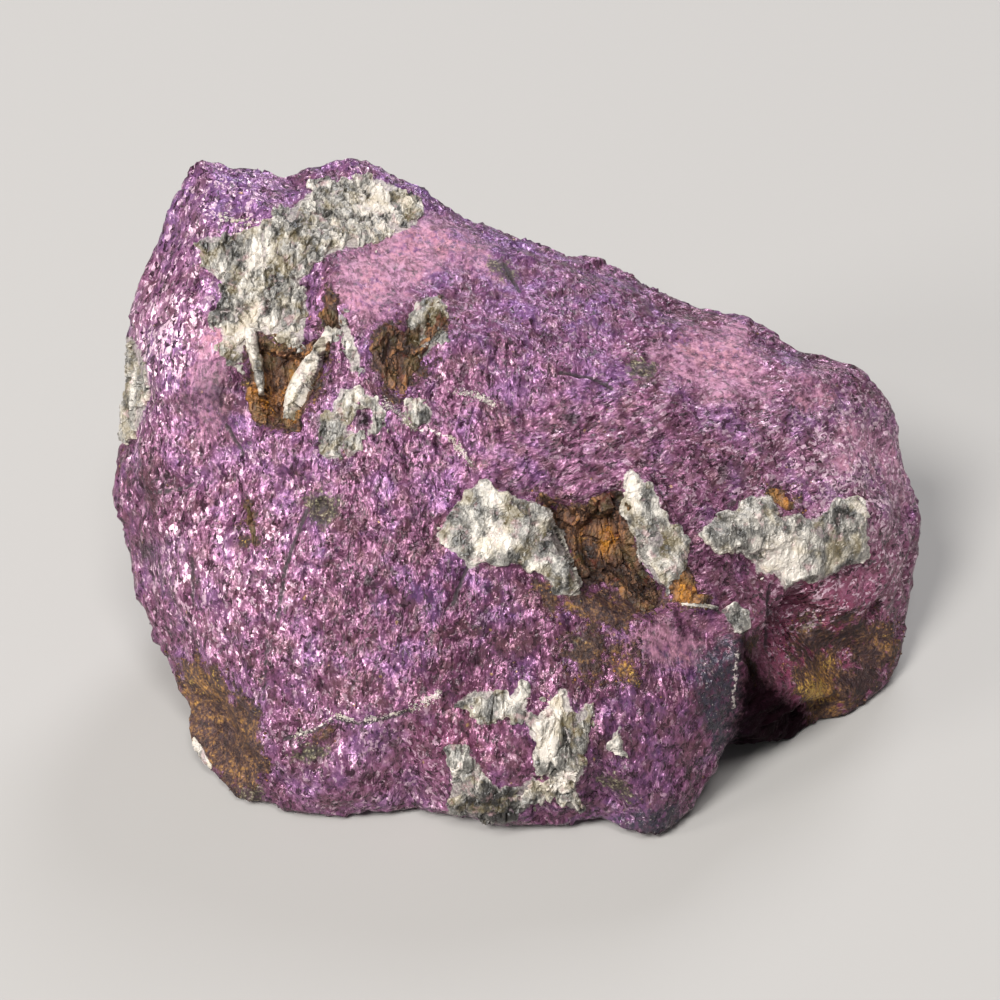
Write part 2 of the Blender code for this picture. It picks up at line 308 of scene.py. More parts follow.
# What lies where on the broad face, each outline in millimetres across and up as it is seen square on
micaPatches = {
    "topBand": [
        (-24.2, 20.9), (-21.4, 21.1), (-18.2, 22.1), (-14.7, 25.0), (-13.3, 24.9), (-11.5, 25.8),
        (-9.4, 25.6), (-7.7, 24.7), (-6.3, 23.4), (-6.7, 22.0), (-9.4, 20.8), (-13.6, 19.8), (-15.4, 18.5),
        (-16.1, 17.4), (-15.4, 15.2), (-15.9, 12.1), (-17.1, 12.9), (-19.8, 13.6), (-20.5, 12.4),
        (-20.8, 10.3), (-21.7, 11.0), (-22.6, 14.6), (-22.3, 17.4), (-23.7, 18.9),
    ],
    "middle": [
        (-5.0, -2.6), (-4.2, -1.8), (-3.4, -0.2), (-2.6, 0.9), (-1.3, 1.4), (0.0, 0.7), (1.4, 0.2),
        (3.1, -0.6), (4.5, -1.6), (5.3, -2.5), (5.4, -3.8), (6.1, -6.5), (6.5, -7.5), (5.5, -7.6),
        (4.5, -7.4), (4.0, -6.5), (3.1, -5.8), (1.4, -5.1), (-0.6, -5.1), (-1.5, -4.6), (-1.9, -5.4),
        (-2.6, -5.4), (-3.0, -4.7), (-3.8, -4.1), (-4.8, -3.4),
    ],
    "upright": [
        (9.9, 2.1), (10.6, 2.5), (11.2, 1.6), (11.9, 1.4), (12.6, 0.3), (12.8, -0.6), (13.8, -2.0),
        (14.9, -3.0), (15.0, -4.4), (14.6, -5.6), (14.0, -6.5), (13.5, -7.4), (12.2, -5.9), (11.3, -4.9),
        (11.0, -3.8), (10.6, -2.5), (9.8, -1.0), (10.2, 0.3), (9.8, 1.1),
    ],
    "right": [
        (16.0, -2.8), (17.9, -1.1), (19.0, -1.1), (19.1, -0.2), (20.3, 0.3), (21.6, 0.3), (22.1, -0.4),
        (22.4, -1.4), (24.0, -1.1), (24.9, -1.6), (26.2, -1.1), (27.0, -0.2), (28.2, 0.2), (29.0, -0.2),
        (29.4, -1.8), (29.4, -3.2), (28.9, -4.9), (27.6, -5.3), (25.9, -6.2), (24.0, -6.5), (22.7, -7.2),
        (22.1, -6.0), (20.7, -5.9), (20.2, -4.9), (19.3, -4.2), (17.2, -4.2),
    ],
    "footUpper": [
        (-3.4, -16.2), (-2.3, -15.4), (-0.7, -15.3), (0.6, -15.8), (1.8, -14.6), (2.2, -15.0), (2.1, -17.0),
        (1.5, -17.6), (1.0, -16.6), (-0.9, -17.6), (-2.6, -16.4),
    ],
    "foot": [
        (2.6, -17.6), (3.4, -17.0), (4.2, -15.8), (5.2, -15.0), (5.6, -16.4), (6.2, -17.2), (7.0, -16.2),
        (7.3, -18.2), (6.4, -19.4), (6.8, -21.3), (6.0, -22.6), (6.5, -24.9), (5.2, -24.4), (3.9, -23.4),
        (4.0, -22.3), (2.7, -21.2), (3.0, -19.6), (2.2, -18.6),
    ],
    "corner": [
        (-4.1, -20.2), (-3.1, -19.8), (-1.7, -21.3), (-1.1, -23.1), (0.3, -23.1), (1.8, -22.9), (2.6, -22.1),
        (3.8, -23.5), (2.6, -24.3), (1.4, -25.0), (0.3, -26.2), (-1.7, -25.6), (-4.2, -25.0), (-3.8, -23.1),
    ],
    "leftStrip": [
        (-31.2, 13.6), (-29.5, 13.0), (-28.8, 12.0), (-28.2, 10.2), (-28.2, 8.0), (-28.8, 6.0), (-29.8, 4.4),
        (-31.4, 4.8),
    ],
    "speckled": [
        (-12.8, 8.9), (-11.2, 9.0), (-11.3, 7.4), (-12.2, 6.2), (-12.4, 4.8), (-12.8, 3.3), (-14.1, 3.3),
        (-14.1, 5.0), (-13.6, 6.8),
    ],
    "speckleRing": [
        (-11.1, 8.5), (-9.8, 8.1), (-9.2, 6.8), (-9.7, 5.5), (-10.6, 5.2), (-10.3, 6.2), (-10.2, 7.0),
    ],
    "speckleLow": [(-12.1, 5.6), (-11.0, 5.3), (-11.2, 4.0), (-12.2, 3.3)],
    "hollowFlakes": [(-7.0, 14.0), (-6.2, 16.0), (-4.8, 16.4), (-4.3, 15.0), (-5.1, 12.4), (-6.6, 11.0)],
    "whiteStreak": [(-13.0, 14.9), (-12.4, 14.6), (-11.8, 13.0), (-11.1, 10.7), (-11.8, 10.2), (-12.4, 12.0)],
    "veinSpot": [(-7.3, 7.6), (-6.2, 7.8), (-5.3, 7.2), (-5.8, 6.1), (-7.0, 6.4)],
    "edgeChip": [
        (17.8, -8.8), (18.8, -8.5), (19.8, -9.2), (19.9, -10.2), (19.2, -11.0), (18.8, -10.2), (18.2, -9.8),
    ],
    "whiteShard": [(8.7, -19.4), (9.5, -18.2), (9.8, -19.7), (10.2, -20.6), (9.3, -20.2)],
}
# Where the mica is whiter (or greyer, where the strength is below zero): across, up, reach, strength
micaPallor = [
    (-0.6, -3.0, 2.2, 0.8), (-3.2, -1.2, 1.7, -0.8), (3.6, -2.6, 1.6, -0.3), (-19.6, 13.8, 2.2, 0.9),
    (-21.8, 12.6, 1.2, 0.9), (-19.4, 19.0, 1.4, 0.6), (-16.6, 20.8, 1.8, -0.4), (-17.8, 16.6, 1.6, -0.5),
    (-9.8, 23.4, 1.5, 0.7), (-12.8, 22.4, 1.2, -0.3), (-23.4, 20.2, 0.9, -1.2), (10.6, 1.9, 1.0, 1.0),
    (11.4, 0.4, 1.1, 0.7), (13.4, -3.0, 1.7, -0.6), (18.2, -2.8, 1.7, -0.8), (22.2, -4.2, 1.9, 1.5),
    (26.6, -3.4, 1.4, -0.7), (28.6, -0.6, 0.9, 0.8), (3.4, -19.4, 1.5, 1.5), (4.6, -16.4, 1.2, 1.4),
    (6.9, -18.4, 1.0, -1.2), (5.2, -22.4, 1.5, 0.8), (-3.4, -21.4, 1.0, 0.6), (-0.2, -24.4, 2.2, -2.6),
    (1.4, -15.8, 0.7, 0.9), (-2.0, -16.4, 0.9, -0.4), (-11.6, 12.6, 1.2, 1.0), (-6.4, 7.2, 0.8, 0.5),
    (-12.6, 8.0, 1.0, 0.6), (-13.2, 4.8, 1.4, -0.6), (-9.6, 6.8, 0.7, 0.6), (-10.2, 23.8, 2.2, 0.6),
    (-13.2, 20.6, 1.6, 0.5), (-20.6, 17.6, 2.0, 0.1), (-5.8, 14.0, 2.0, -1.0), (-30.0, 9.0, 3.0, -0.3),
    (-13.6, 21.6, 1.4, 0.3), (9.4, -19.6, 1.0, 0.5), (18.8, -9.6, 1.4, -0.9),
]
rustPockets = {
    "bladePocket": [
        (-20.2, 13.6), (-17.8, 12.8), (-15.5, 12.1), (-13.9, 13.3), (-14.6, 14.7), (-13.6, 16.4),
        (-12.9, 14.0), (-13.6, 11.4), (-14.8, 8.8), (-16.4, 5.8), (-18.1, 5.8), (-19.2, 6.3), (-20.0, 8.2),
    ],
    "hollow": [
        (-10.2, 13.0), (-8.8, 14.0), (-7.0, 14.2), (-4.8, 16.0), (-4.5, 14.4), (-5.6, 12.0), (-7.0, 10.2),
        (-8.0, 8.6), (-9.4, 9.2), (-10.1, 11.2),
    ],
    "sliver": [(3.1, 0.6), (4.2, 0.3), (5.4, -0.2), (6.7, -0.7), (5.4, -2.2), (4.5, -1.6), (3.1, -0.2)],
    "pocket": [
        (6.6, -0.7), (7.6, -0.2), (9.4, 0.5), (10.1, -0.2), (10.4, -2.2), (11.0, -3.8), (11.6, -5.6),
        (12.5, -6.6), (13.4, -7.7), (12.8, -8.4), (11.9, -8.7), (10.7, -8.4), (9.7, -7.4), (8.6, -6.6),
        (7.1, -6.6), (6.2, -6.2), (5.8, -4.9), (5.3, -2.5),
    ],
    "brownStain": [
        (3.0, -7.1), (4.8, -7.2), (7.2, -7.6), (9.6, -7.2), (11.6, -8.0), (12.0, -9.2), (10.0, -10.6),
        (8.0, -10.2), (6.0, -9.6), (4.0, -8.8),
    ],
    "smallStain": [(5.4, -10.6), (8.0, -11.2), (8.4, -13.2), (7.0, -14.6), (5.4, -13.4)],
    "lowStain": [(8.8, -11.4), (10.8, -11.6), (11.0, -13.6), (9.8, -14.6), (8.6, -13.2)],
    "amber": [
        (13.5, -6.6), (14.7, -5.9), (15.3, -6.6), (15.8, -7.4), (16.6, -8.5), (14.9, -8.5), (13.8, -8.1),
    ],
    "oliveRim": [
        (-25.3, -12.6), (-23.0, -14.2), (-22.0, -16.2), (-20.0, -17.8), (-19.2, -19.5), (-18.9, -22.4),
        (-21.0, -22.8), (-22.8, -21.5), (-24.0, -19.7), (-24.8, -17.7), (-25.3, -15.6),
    ],
    "lobeRust": [
        (23.4, -9.6), (25.2, -9.6), (27.0, -9.9), (28.6, -9.0), (31.0, -9.9), (32.0, -10.8), (31.7, -12.8),
        (30.9, -14.4), (29.5, -16.0), (28.3, -17.0), (27.0, -18.4), (25.2, -18.9), (24.5, -16.9),
        (24.0, -15.7), (23.1, -13.6), (23.4, -11.8),
    ],
    "plateAmber": [(21.8, 0.6), (22.6, 0.5), (23.6, -0.7), (23.0, -1.4), (22.2, -0.7)],
    "cleftRust": [(19.7, -10.8), (20.3, -11.2), (20.6, -14.1), (19.8, -14.2)],
    "slit": [(-20.3, -0.4), (-20.0, -0.4), (-19.5, -2.4), (-19.6, -4.0), (-20.0, -2.4)],
    "footDot": [(-14.8, -18.4), (-13.8, -18.2), (-13.8, -19.0), (-14.6, -19.2)],
}
# How warm each place's rust is, from olive (below zero) to orange (above): across, up, reach, warmth
rustWarmth = [
    (-8.0, 12.0, 3.0, -0.9), (-9.0, 10.4, 1.2, 0.5), (-20.2, 8.2, 1.0, 1.0), (-17.4, 9.0, 2.0, 0.3),
    (8.4, -3.2, 1.2, 1.2), (11.2, -6.6, 1.6, -1.6), (9.4, -0.6, 1.2, -1.8), (7.0, -5.8, 1.3, -1.6),
    (8.4, -9.4, 2.4, -0.4), (6.8, -12.6, 1.6, -1.0), (14.6, -7.2, 1.3, 1.3), (10.4, -13.6, 0.9, 1.5),
    (22.6, -0.3, 1.0, 1.3), (-22.2, -18.8, 3.0, -0.3), (-24.0, -14.6, 1.6, 0.8), (25.2, -15.2, 1.2, 2.6),
    (26.4, -13.0, 1.0, 1.8), (29.6, -14.6, 1.8, -1.6), (24.8, -11.6, 1.2, -1.0), (27.6, -9.8, 1.4, -0.8),
    (-13.6, 12.8, 1.1, -1.6), (-19.4, 10.6, 1.0, -0.6), (28.8, -13.0, 2.4, -0.8), (30.6, -11.4, 1.0, 0.8),
    (26.0, -10.6, 1.6, -0.5),
]
# Where the rust covers the purple without gaps, or with more gaps (below zero): across, up, reach, strength
rustSolid = [
    (-22.4, -18.2, 3.4, 1.8), (-24.2, -14.6, 1.6, 0.8), (27.2, -12.2, 1.6, -1.2), (24.6, -12.6, 1.0, -1.0),
]
greyStains = {
    "greenPit": [(-15.7, 0.1), (-14.2, 0.7), (-12.8, 0.1), (-13.0, -1.3), (-14.1, -2.3), (-15.3, -1.8)],
    "greyLeaf": [(7.7, -22.3), (9.1, -21.9), (10.2, -22.7), (10.7, -24.2), (9.5, -23.8), (8.3, -23.1)],
    "greenLeaf": [
        (-16.9, -20.5), (-15.7, -19.7), (-14.5, -19.4), (-13.6, -20.1), (-14.1, -20.7), (-15.7, -21.0),
    ],
    "greyStain": [(5.7, -10.8), (7.0, -10.8), (7.4, -12.0), (6.6, -13.2), (5.6, -12.4)],
    "rimDark": [(-1.1, 19.3), (0.4, 19.2), (1.4, 18.0), (0.6, 17.6), (-0.8, 18.4)],
    "lobeGrey": [(23.9, -9.3), (25.4, -9.3), (25.2, -10.6), (24.2, -10.4)],
    "cornerGreen": [(-21.2, -23.0), (-19.2, -22.8), (-18.6, -24.4), (-20.4, -25.0)],
    "faintGreen": [(10.0, 11.4), (12.6, 11.0), (12.2, 9.6), (10.4, 9.8)],
}
pinkZones = {
    "underBand": [
        (-8.0, 22.6), (-6.0, 22.8), (-3.0, 21.2), (-1.2, 20.0), (0.0, 17.8), (-3.8, 19.2), (-5.6, 18.2),
        (-7.2, 16.8), (-8.6, 16.0), (-9.6, 14.2), (-11.8, 14.6), (-12.8, 16.4), (-13.2, 19.0), (-11.5, 19.8),
    ],
    "shoulder": [
        (12.0, 11.8), (16.0, 13.4), (19.7, 14.2), (20.8, 10.7), (21.3, 8.0), (17.6, 8.0), (13.8, 9.6),
    ],
    "shoulderSpot": [(23.4, 10.2), (24.7, 10.1), (26.2, 8.6), (25.8, 7.8), (24.7, 7.2), (24.2, 8.6)],
    "strip": [
        (27.4, 6.5), (28.3, 5.9), (30.3, 5.0), (31.4, 3.4), (32.3, 1.4), (32.1, 0.2), (31.3, 0.7),
        (30.6, 2.5), (29.8, 3.8), (28.5, 3.8), (27.8, 2.7), (27.1, 1.9), (26.7, 3.1), (27.4, 4.1),
    ],
    "belowPocket": [(9.4, -10.6), (12.8, -10.2), (16.4, -11.2), (16.0, -13.2), (12.8, -13.4), (10.4, -12.4)],
    "leftBand": [(-24.1, 13.6), (-22.2, 13.6), (-21.9, 10.4), (-22.9, 6.4), (-23.8, 4.0), (-24.8, 9.2)],
}
# Bluish dark zones on the block's right edge and the toe: partly a stain, partly painted shade where these
# sides face away from the lamps
stainAndShadeZones = {
    "blockEdge": [
        (15.8, -11.8), (19.4, -11.0), (19.4, -17.2), (18.6, -21.0), (17.0, -20.4), (16.2, -17.6),
        (15.4, -15.0),
    ],
    "toe": [(8.8, -25.4), (13.6, -24.4), (14.8, -25.6), (11.6, -27.8)],
}
# The cleft between the block and the lobe is painted near-black: painted shadow
paintedShadowZones = {
    "cleft": [
        (19.2, -9.6), (20.2, -12.0), (21.4, -14.2), (22.6, -15.4), (24.4, -16.4), (25.0, -18.4),
        (23.4, -20.4), (20.0, -21.0), (18.3, -20.6), (18.6, -17.8), (19.2, -14.4),
    ],
}
# Small dark smudges on the purple: across, up, reach, strength
smudges = [
    (-14.6, -0.4, 0.6, 1.0), (-13.5, -0.9, 0.4, 0.9), (-15.2, -20.2, 0.8, 0.8), (-10.9, 6.4, 0.7, 1.3),
    (-12.0, 6.9, 0.5, 0.9), (-14.3, 6.3, 0.7, 0.8), (-12.4, 2.6, 0.8, 0.6), (5.7, 6.6, 0.7, 1.0),
    (18.0, 2.2, 0.8, 0.9), (-28.2, -4.0, 0.9, 1.0), (-10.4, -6.4, 0.6, 0.8), (3.6, 13.0, 0.6, 0.6),
    (-1.6, -9.8, 0.9, 0.7), (-6.6, -9.6, 0.7, 0.6), (-27.0, 1.0, 1.4, 0.5), (18.8, -10.2, 1.0, 0.6),
    (24.6, 12.0, 1.0, 0.7), (-2.0, -12.6, 0.6, 0.9),
]
veins = {
    "upper": [(-9.3, 7.8), (-8.1, 6.9), (-6.6, 5.6), (-5.6, 5.6), (-4.2, 5.1), (-3.2, 4.1), (-2.3, 2.9)],
    "faint": [(-3.7, 8.7), (-2.2, 8.4), (-0.6, 7.7)],
    "long": [
        (-16.5, -18.9), (-14.6, -18.2), (-13.2, -17.3), (-11.4, -17.8), (-9.5, -17.4), (-6.9, -16.6),
        (-4.8, -15.4),
    ],
    "bandEdge": [(-22.4, 22.7), (-21.0, 22.2), (-19.4, 22.3), (-18.2, 22.1)],
    "claw": [(15.0, -8.2), (16.4, -8.6)],
    "blockRim": [(18.9, -11.6), (18.8, -14.4), (18.6, -17.0)],
}
cracks = {
    "leftCrease": [(-28.0, 0.6), (-26.6, 0.7), (-25.4, 1.0), (-24.2, 1.5)],
    "leftCrack": [(-24.6, -4.5), (-24.6, -8.5)],
    "fromPit": [(-15.6, -0.7), (-16.6, -3.4), (-17.2, -5.4), (-17.8, -9.6)],
    "long": [(-17.6, -19.2), (-14.6, -18.4), (-13.2, -17.5), (-11.4, -18.0), (-9.5, -17.6), (-6.9, -16.8)],
    "low": [(-18.6, -11.2), (-19.0, -16.0)],
    "plate": [(-2.6, -5.4), (-3.4, -7.2), (-3.8, -8.4)],
    "upper": [(4.8, 10.2), (7.2, 9.8), (9.0, 9.0)],
    "rim": [(0.4, 19.0), (1.0, 17.8), (1.6, 16.8)],
    "claw": [(16.2, -8.4), (17.8, -9.0)],
    "cleft": [(21.6, -6.8), (21.4, -9.4), (21.2, -12.4)],
    "aboveBand": [(-21.9, 6.0), (-20.6, 3.6)],
}
# The hidden side has the same kinds of patch, made up to suit its ledges
backMica = {
    "ledgeCrust": [(-14.0, 12.6), (-11.0, 13.4), (-8.6, 12.0), (-7.4, 9.4), (-9.6, 9.0), (-12.4, 10.2)],
    "lowPlate": [(-2.0, 4.0), (1.6, 6.0), (4.6, 3.4), (3.6, 0.6), (5.2, -3.0), (0.8, -2.4), (-1.6, 0.8)],
    "sideFlakes": [(18.4, 8.0), (22.0, 6.6), (25.2, 3.0), (22.4, 2.8), (19.4, 4.8)],
    "leftSheet": [(-24.6, 8.0), (-21.8, 9.4), (-20.8, 4.2), (-22.6, -1.0), (-24.8, 2.0)],
}
backRust = {
    "scar": [
        (-18.6, 7.0), (-15.0, 8.6), (-12.6, 5.6), (-9.0, 3.4), (-11.4, -1.6), (-15.6, 0.6), (-18.0, 1.6),
    ],
    "pit": [(11.6, -1.6), (14.0, 0.4), (16.0, -0.4), (17.6, -4.0), (14.0, -5.4)],
    "ledgeStain": [(8.0, 12.4), (13.0, 11.4), (15.6, 8.6), (11.0, 7.8), (8.2, 9.4)],
}
backPink = {
    "upper": [(-4.0, 19.6), (2.0, 17.6), (6.4, 13.6), (2.0, 12.6), (-1.0, 15.0)],
    "right": [(20.0, -1.0), (26.0, -1.6), (26.4, -7.6), (20.6, -6.6)],
    "left": [(-6.0, 13.0), (-3.0, 12.0), (-4.0, 8.0), (-7.0, 8.4)],
}
# Where the purple is lighter, or darker below zero: partly its own tone, partly painted light and shade where
# the lamps fall, and the painted glints gather where it is high: across, up, reach, strength
paintedLightAndToneSpots = [
    (-27.0, 12.0, 6.0, 0.7), (-21.0, -7.0, 6.0, 0.3), (-26.0, -5.0, 3.0, 0.3), (-22.0, 24.0, 5.0, 0.4),
    (-8.0, 27.5, 4.0, 0.4), (-4.0, -9.0, 8.0, -0.35), (12.0, -17.5, 5.0, -0.15), (25.0, -9.5, 4.0, 0.55),
    (13.0, -12.0, 2.6, -0.6), (17.8, -15.0, 2.6, -0.5), (31.0, -5.0, 4.0, 0.5), (29.0, 3.5, 5.0, 0.8),
    (20.0, 3.0, 6.0, 0.3), (8.0, 7.0, 6.0, 0.2), (-9.0, -21.0, 6.0, 0.3), (-23.0, 8.5, 2.6, -1.3),
]
# Where the purple turns violet, or ruddy below zero; the violet along the top edge is partly a painted
# reflection of the cool rim lamp: across, up, reach, strength
hueSpots = [
    (-22.0, 24.0, 5.0, 0.7), (-8.0, 27.0, 5.0, 0.8), (0.0, 20.0, 4.0, 0.5), (-27.5, 10.0, 4.0, 0.4),
    (6.0, 15.0, 4.0, 0.3), (-10.0, 13.0, 2.5, 0.4), (10.0, -24.0, 4.0, 0.3), (26.0, -9.0, 5.0, -1.0),
    (24.0, -14.0, 5.0, -1.0), (30.6, -5.0, 3.0, -0.5), (-3.0, -19.0, 4.0, -0.3),
]
# Hollows sunk in the skin: the outline, how deep and how wide its slope is, in millimetres
hollows = [
    (rustPockets["bladePocket"], 0.9, 0.8),
    (rustPockets["pocket"], 1.0, 0.8),
    (rustPockets["hollow"], 0.6, 0.8),
    (greyStains["greenPit"], 0.5, 0.7),
]
hollowRim = 0.35  # how far inside its outline each hollow begins, in millimetres
farOff = 9.0      # a distance in millimetres past which no patch and no line has any effect
sideStart, sideSlope = 0.12, 6  # a patch ends where its side turns away, and this fast


def deepest(outlines, sideSign):
    # The signed distance to the nearest of several outlines, in millimetres, on one side of the stone only
    best = np.full(len(points), -farOff)
    for outline in outlines.values():
        best = np.maximum(best, insideBy(across, up, outline) / mm)
    return np.where(ledge, -farOff, np.minimum(best, (facing * sideSign + sideStart) * sideSlope))


def nearestLine(routes):
    # How far each point that faces the eye is from the nearest of several lines, in millimetres
    best = np.full(len(points), farOff)
    for route in routes.values():
        best = np.minimum(best, gapToLine(across, up, route) / mm)
    return np.where(facing > 0, best, farOff)


def spotted(spots, rightward, upward):
    # Soft round spots, each strength × e^(−(distance ÷ reach)²), summed at places given in millimetres
    total = np.zeros(len(rightward))
    for spotAcross, spotUp, reach, strength in spots:
        gap = np.hypot(rightward - spotAcross, upward - spotUp)
        total += strength * np.exp(-((gap / reach) ** 2))
    return total


def inFront(spots):
    # The spots' sum at each point that faces the eye
    return np.where(facing > 0, spotted(spots, across / mm, up / mm), 0)


def cloudBehind(size, seed):
    # On the hidden side clouds of this size, in millimetres, take the place of the spots
    return cloud(points, size * mm, seed) * (facing < 0)


print("laying out the patches")
wander = cloud(points, 1.3 * mm, 11, 2)
fray = cloud(points, 0.55 * mm, 17, 2)
mostRust = 1.2  # deeper than this a rust patch counts as no deeper, so that the spots can open gaps in it
# The cleft's painted shadow runs on round the hidden side
paintedShadowBehind = np.where(across > cleftStart, deepest(paintedShadowZones, -1), -farOff)
values = {
    "mica": np.maximum(deepest(micaPatches, 1), deepest(backMica, -1)),
    "rust": np.maximum(deepest(rustPockets, 1), deepest(backRust, -1)),
    "stain": deepest(greyStains, 1),
    "pink": np.maximum(deepest(pinkZones, 1), deepest(backPink, -1)),
    "dusk": deepest(stainAndShadeZones, 1),
    "gloom": np.maximum(deepest(paintedShadowZones, 1), paintedShadowBehind),
    "pallor": inFront(micaPallor) + 0.4 * cloudBehind(2.2, 23),
    "warmth": inFront(rustWarmth) + 0.8 * cloudBehind(3.0, 29),
    "smudge": inFront(smudges),
    "glow": inFront(paintedLightAndToneSpots) + 0.3 * cloudBehind(6.0, 37),
    "hue": inFront(hueSpots) + 0.3 * cloudBehind(5.0, 39),
    "vein": nearestLine(veins),
    "crack": nearestLine(cracks),
}
values["rust"] = np.minimum(values["rust"], mostRust) + inFront(rustSolid)

# Which way the fibres run, as degrees clockwise from straight up the face: across, up, reach, degrees
grainTurns = [
    (-24.0, -4.0, 12.0, 5.0), (-20.0, 20.0, 8.0, -4.0), (-6.0, 15.0, 8.0, -25.0), (3.0, 14.0, 6.0, -35.0),
    (8.0, 5.0, 8.0, 72.0), (20.0, 6.0, 9.0, 62.0), (-2.0, -8.0, 8.0, 20.0), (8.0, -20.0, 8.0, 8.0),
    (27.0, -8.0, 8.0, 50.0), (-12.0, 4.0, 6.0, 0.0),
]
hardlyAny = 1e-9  # keeps the division whole where no spot is near
# The turn at a point is the mean of the spots' angles, each counting by its nearness
nearness = spotted([(*spot[:3], 1.0) for spot in grainTurns], across / mm, up / mm) + hardlyAny
turn = np.radians(spotted(grainTurns, across / mm, up / mm)) / nearness
grain = np.cos(turn)[:, None] * upTheFace + np.sin(turn)[:, None] * alongX
grain -= normals * (grain * normals).sum(1)[:, None]
grain /= np.linalg.norm(grain, axis=1)[:, None]
values["level"] = np.abs(np.sin(turn))

# Relief of the skin in millimetres: broken facets, splinters, hackles, cracks and veins
relief = {
    "facets": (2.6, 0.30),     # size and height of the large broken facets
    "splinters": (1.1, 0.17),  # of the splinters drawn out along the fibres
    "hackles": (0.6, 0.05),    # and of the fine roughness
    "splinterStretch": 1.8,
    "crack": (0.16, -0.28),    # width and height of each line
    "vein": (0.2, 0.07),
    "edges": {                 # how far fray and wander move each kind's edge, and how wide it is
        "mica": (0.35, 0.25, 0.22),
        "rust": (0.3, 0.3, 0.5),
        "pink": (0, 0.8, 1.2),
    },
    "pinkCalm": 0.6,           # how much flatter the pink zones are
}


def onKind(kind):
    # 0 outside a kind's patches, 1 inside, with a frayed and wandering edge
    frays, wanders, width = relief["edges"][kind]
    return np.clip((values[kind] + frays * fray + wanders * wander) / width + 0.5, 0, 1)


def lineHeight(kind):
    # Each line's height × e^(−(distance ÷ width)²)
    width, height = relief[kind]
    return height * np.exp(-((values[kind] / width) ** 2))


print("working the relief")
onMica = onKind("mica")
onPurple = (1 - onMica) * (1 - onKind("rust") * (1 - onMica))
calm = 1 - relief["pinkCalm"] * onKind("pink")
facets, _, _ = cells(points, relief["facets"][0] * mm, 31)
splintered = stretched(points, grain, relief["splinterStretch"])
splinters, _, _ = cells(splintered, relief["splinters"][0] * mm, 41)
height = facets * relief["facets"][1] * (1 + calm) / 2
height += splinters * relief["splinters"][1] * onPurple * calm
height += cloud(points, relief["hackles"][0] * mm, 71, 2) * relief["hackles"][1] * onPurple * calm
height += lineHeight("crack") * onPurple + lineHeight("vein") * (0.5 + fray)
calmNormals = normals
points = points + normals * (height * mm)[:, None]
for outline, deep, slope in hollows:
    sunk = np.clip((insideBy(across, up, outline) / mm - hollowRim) / slope, 0, 1) * (facing > -0.3)
    points -= towardEye * (deep * mm * eased(sunk))[:, None]
points[:, 2] = np.maximum(points[:, 2], 0)
normals, areas = vertexNormals(points, quads)


# Shader maths: a wire is one output of a material's nodes, and sums and products of wires add Math nodes
class Wire:
    def __init__(self, tree, socket=None):
        self.tree = tree
        self.socket = socket

    def node(self, kind, settings, sockets, out=0):
        made = self.tree.nodes.new("ShaderNode" + kind)
        for name, value in settings.items():
            if name == "stops":
                setStops(made.color_ramp, value)
            else:
                setattr(made, name, value)
        for slot, value in sockets.items():
            if isinstance(value, Wire):
                self.tree.links.new(value.socket, made.inputs[slot])
            else:
                made.inputs[slot].default_value = value
        return Wire(self.tree, made.outputs[out])

    def math(self, operation, first, second=0.0, clamp=False):
        return self.node("Math", {"operation": operation, "use_clamp": clamp}, {0: first, 1: second})

    def __add__(self, other):
        return self.math("ADD", self, other)

    def __sub__(self, other):
        return self.math("SUBTRACT", self, other)

    def __rsub__(self, other):
        return self.math("SUBTRACT", other, self)

    def __mul__(self, other):
        return self.math("MULTIPLY", self, other)

    def __truediv__(self, other):
        return self.math("DIVIDE", self, other)

    __radd__ = __add__
    __rmul__ = __mul__

    def clamped(self):
        return self.math("ADD", self, 0.0, True)

    def above(self, edge, width):
        # 0 below the edge and 1 above it, over this width
        return self.math("DIVIDE", self - (edge - width / 2), width, True)

    def around(self, weight):
        # (self − 0.5) × weight, so that a pattern from 0 to 1 takes away as much as it adds
        return (self - 0.5) * weight

    def atLine(self, line, width):
        # 1 where this wire is at the line, falling to 0 at this distance from it
        return (1 - self.math("ABSOLUTE", self - line) / width).clamped()

    def vector(self, operation, other=None, scale=None):
        sockets = {0: self}
        if other is not None:
            sockets[1] = other
        if scale is not None:
            sockets["Scale"] = scale
        out = "Value" if operation == "DOT_PRODUCT" else 0
        return self.node("VectorMath", {"operation": operation}, sockets, out)

    def centred(self):
        # A colour from 0 to 1 in each part becomes a vector about the middle
        return self.vector("SUBTRACT", (0.5, 0.5, 0.5))

    def mixed(self, first, second):
        # Colour: the first where this wire is 0, the second where it is 1
        return self.node("Mix", {"data_type": "RGBA"}, {0: self, 6: first, 7: second}, 2)

    def ramp(self, stops):
        return self.node("ValToRGB", {"stops": stops}, {0: self.clamped()})

    def attribute(self, name):
        return self.node("Attribute", {"attribute_name": name}, {}, "Fac")

    def noise(self, where, size, detail=2.0, roughness=0.5, swirl=0.0, out=0):
        sockets = {"Vector": where, "Scale": 1 / size, "Detail": detail, "Roughness": roughness}
        return self.node("TexNoise", {}, {**sockets, "Distortion": swirl}, out)

    def joined(self, x, y, z):
        return self.node("CombineXYZ", {}, {0: x, 1: y, 2: z})

    def bump(self, depth, normal):
        # This wire as a height, with its depth in millimetres, on top of an earlier normal
        return self.node("Bump", {}, {"Height": self, "Distance": depth * mm, "Normal": normal})

    def faceAxes(self):
        # The place in millimetres, and how far it is across the face, up it and out of it
        place = self.node("TexCoord", {}, {}, "Object").vector("SCALE", scale=1 / mm)
        return place, [place.vector("DOT_PRODUCT", tuple(way)) for way in (alongX, upTheFace, towardEye)]


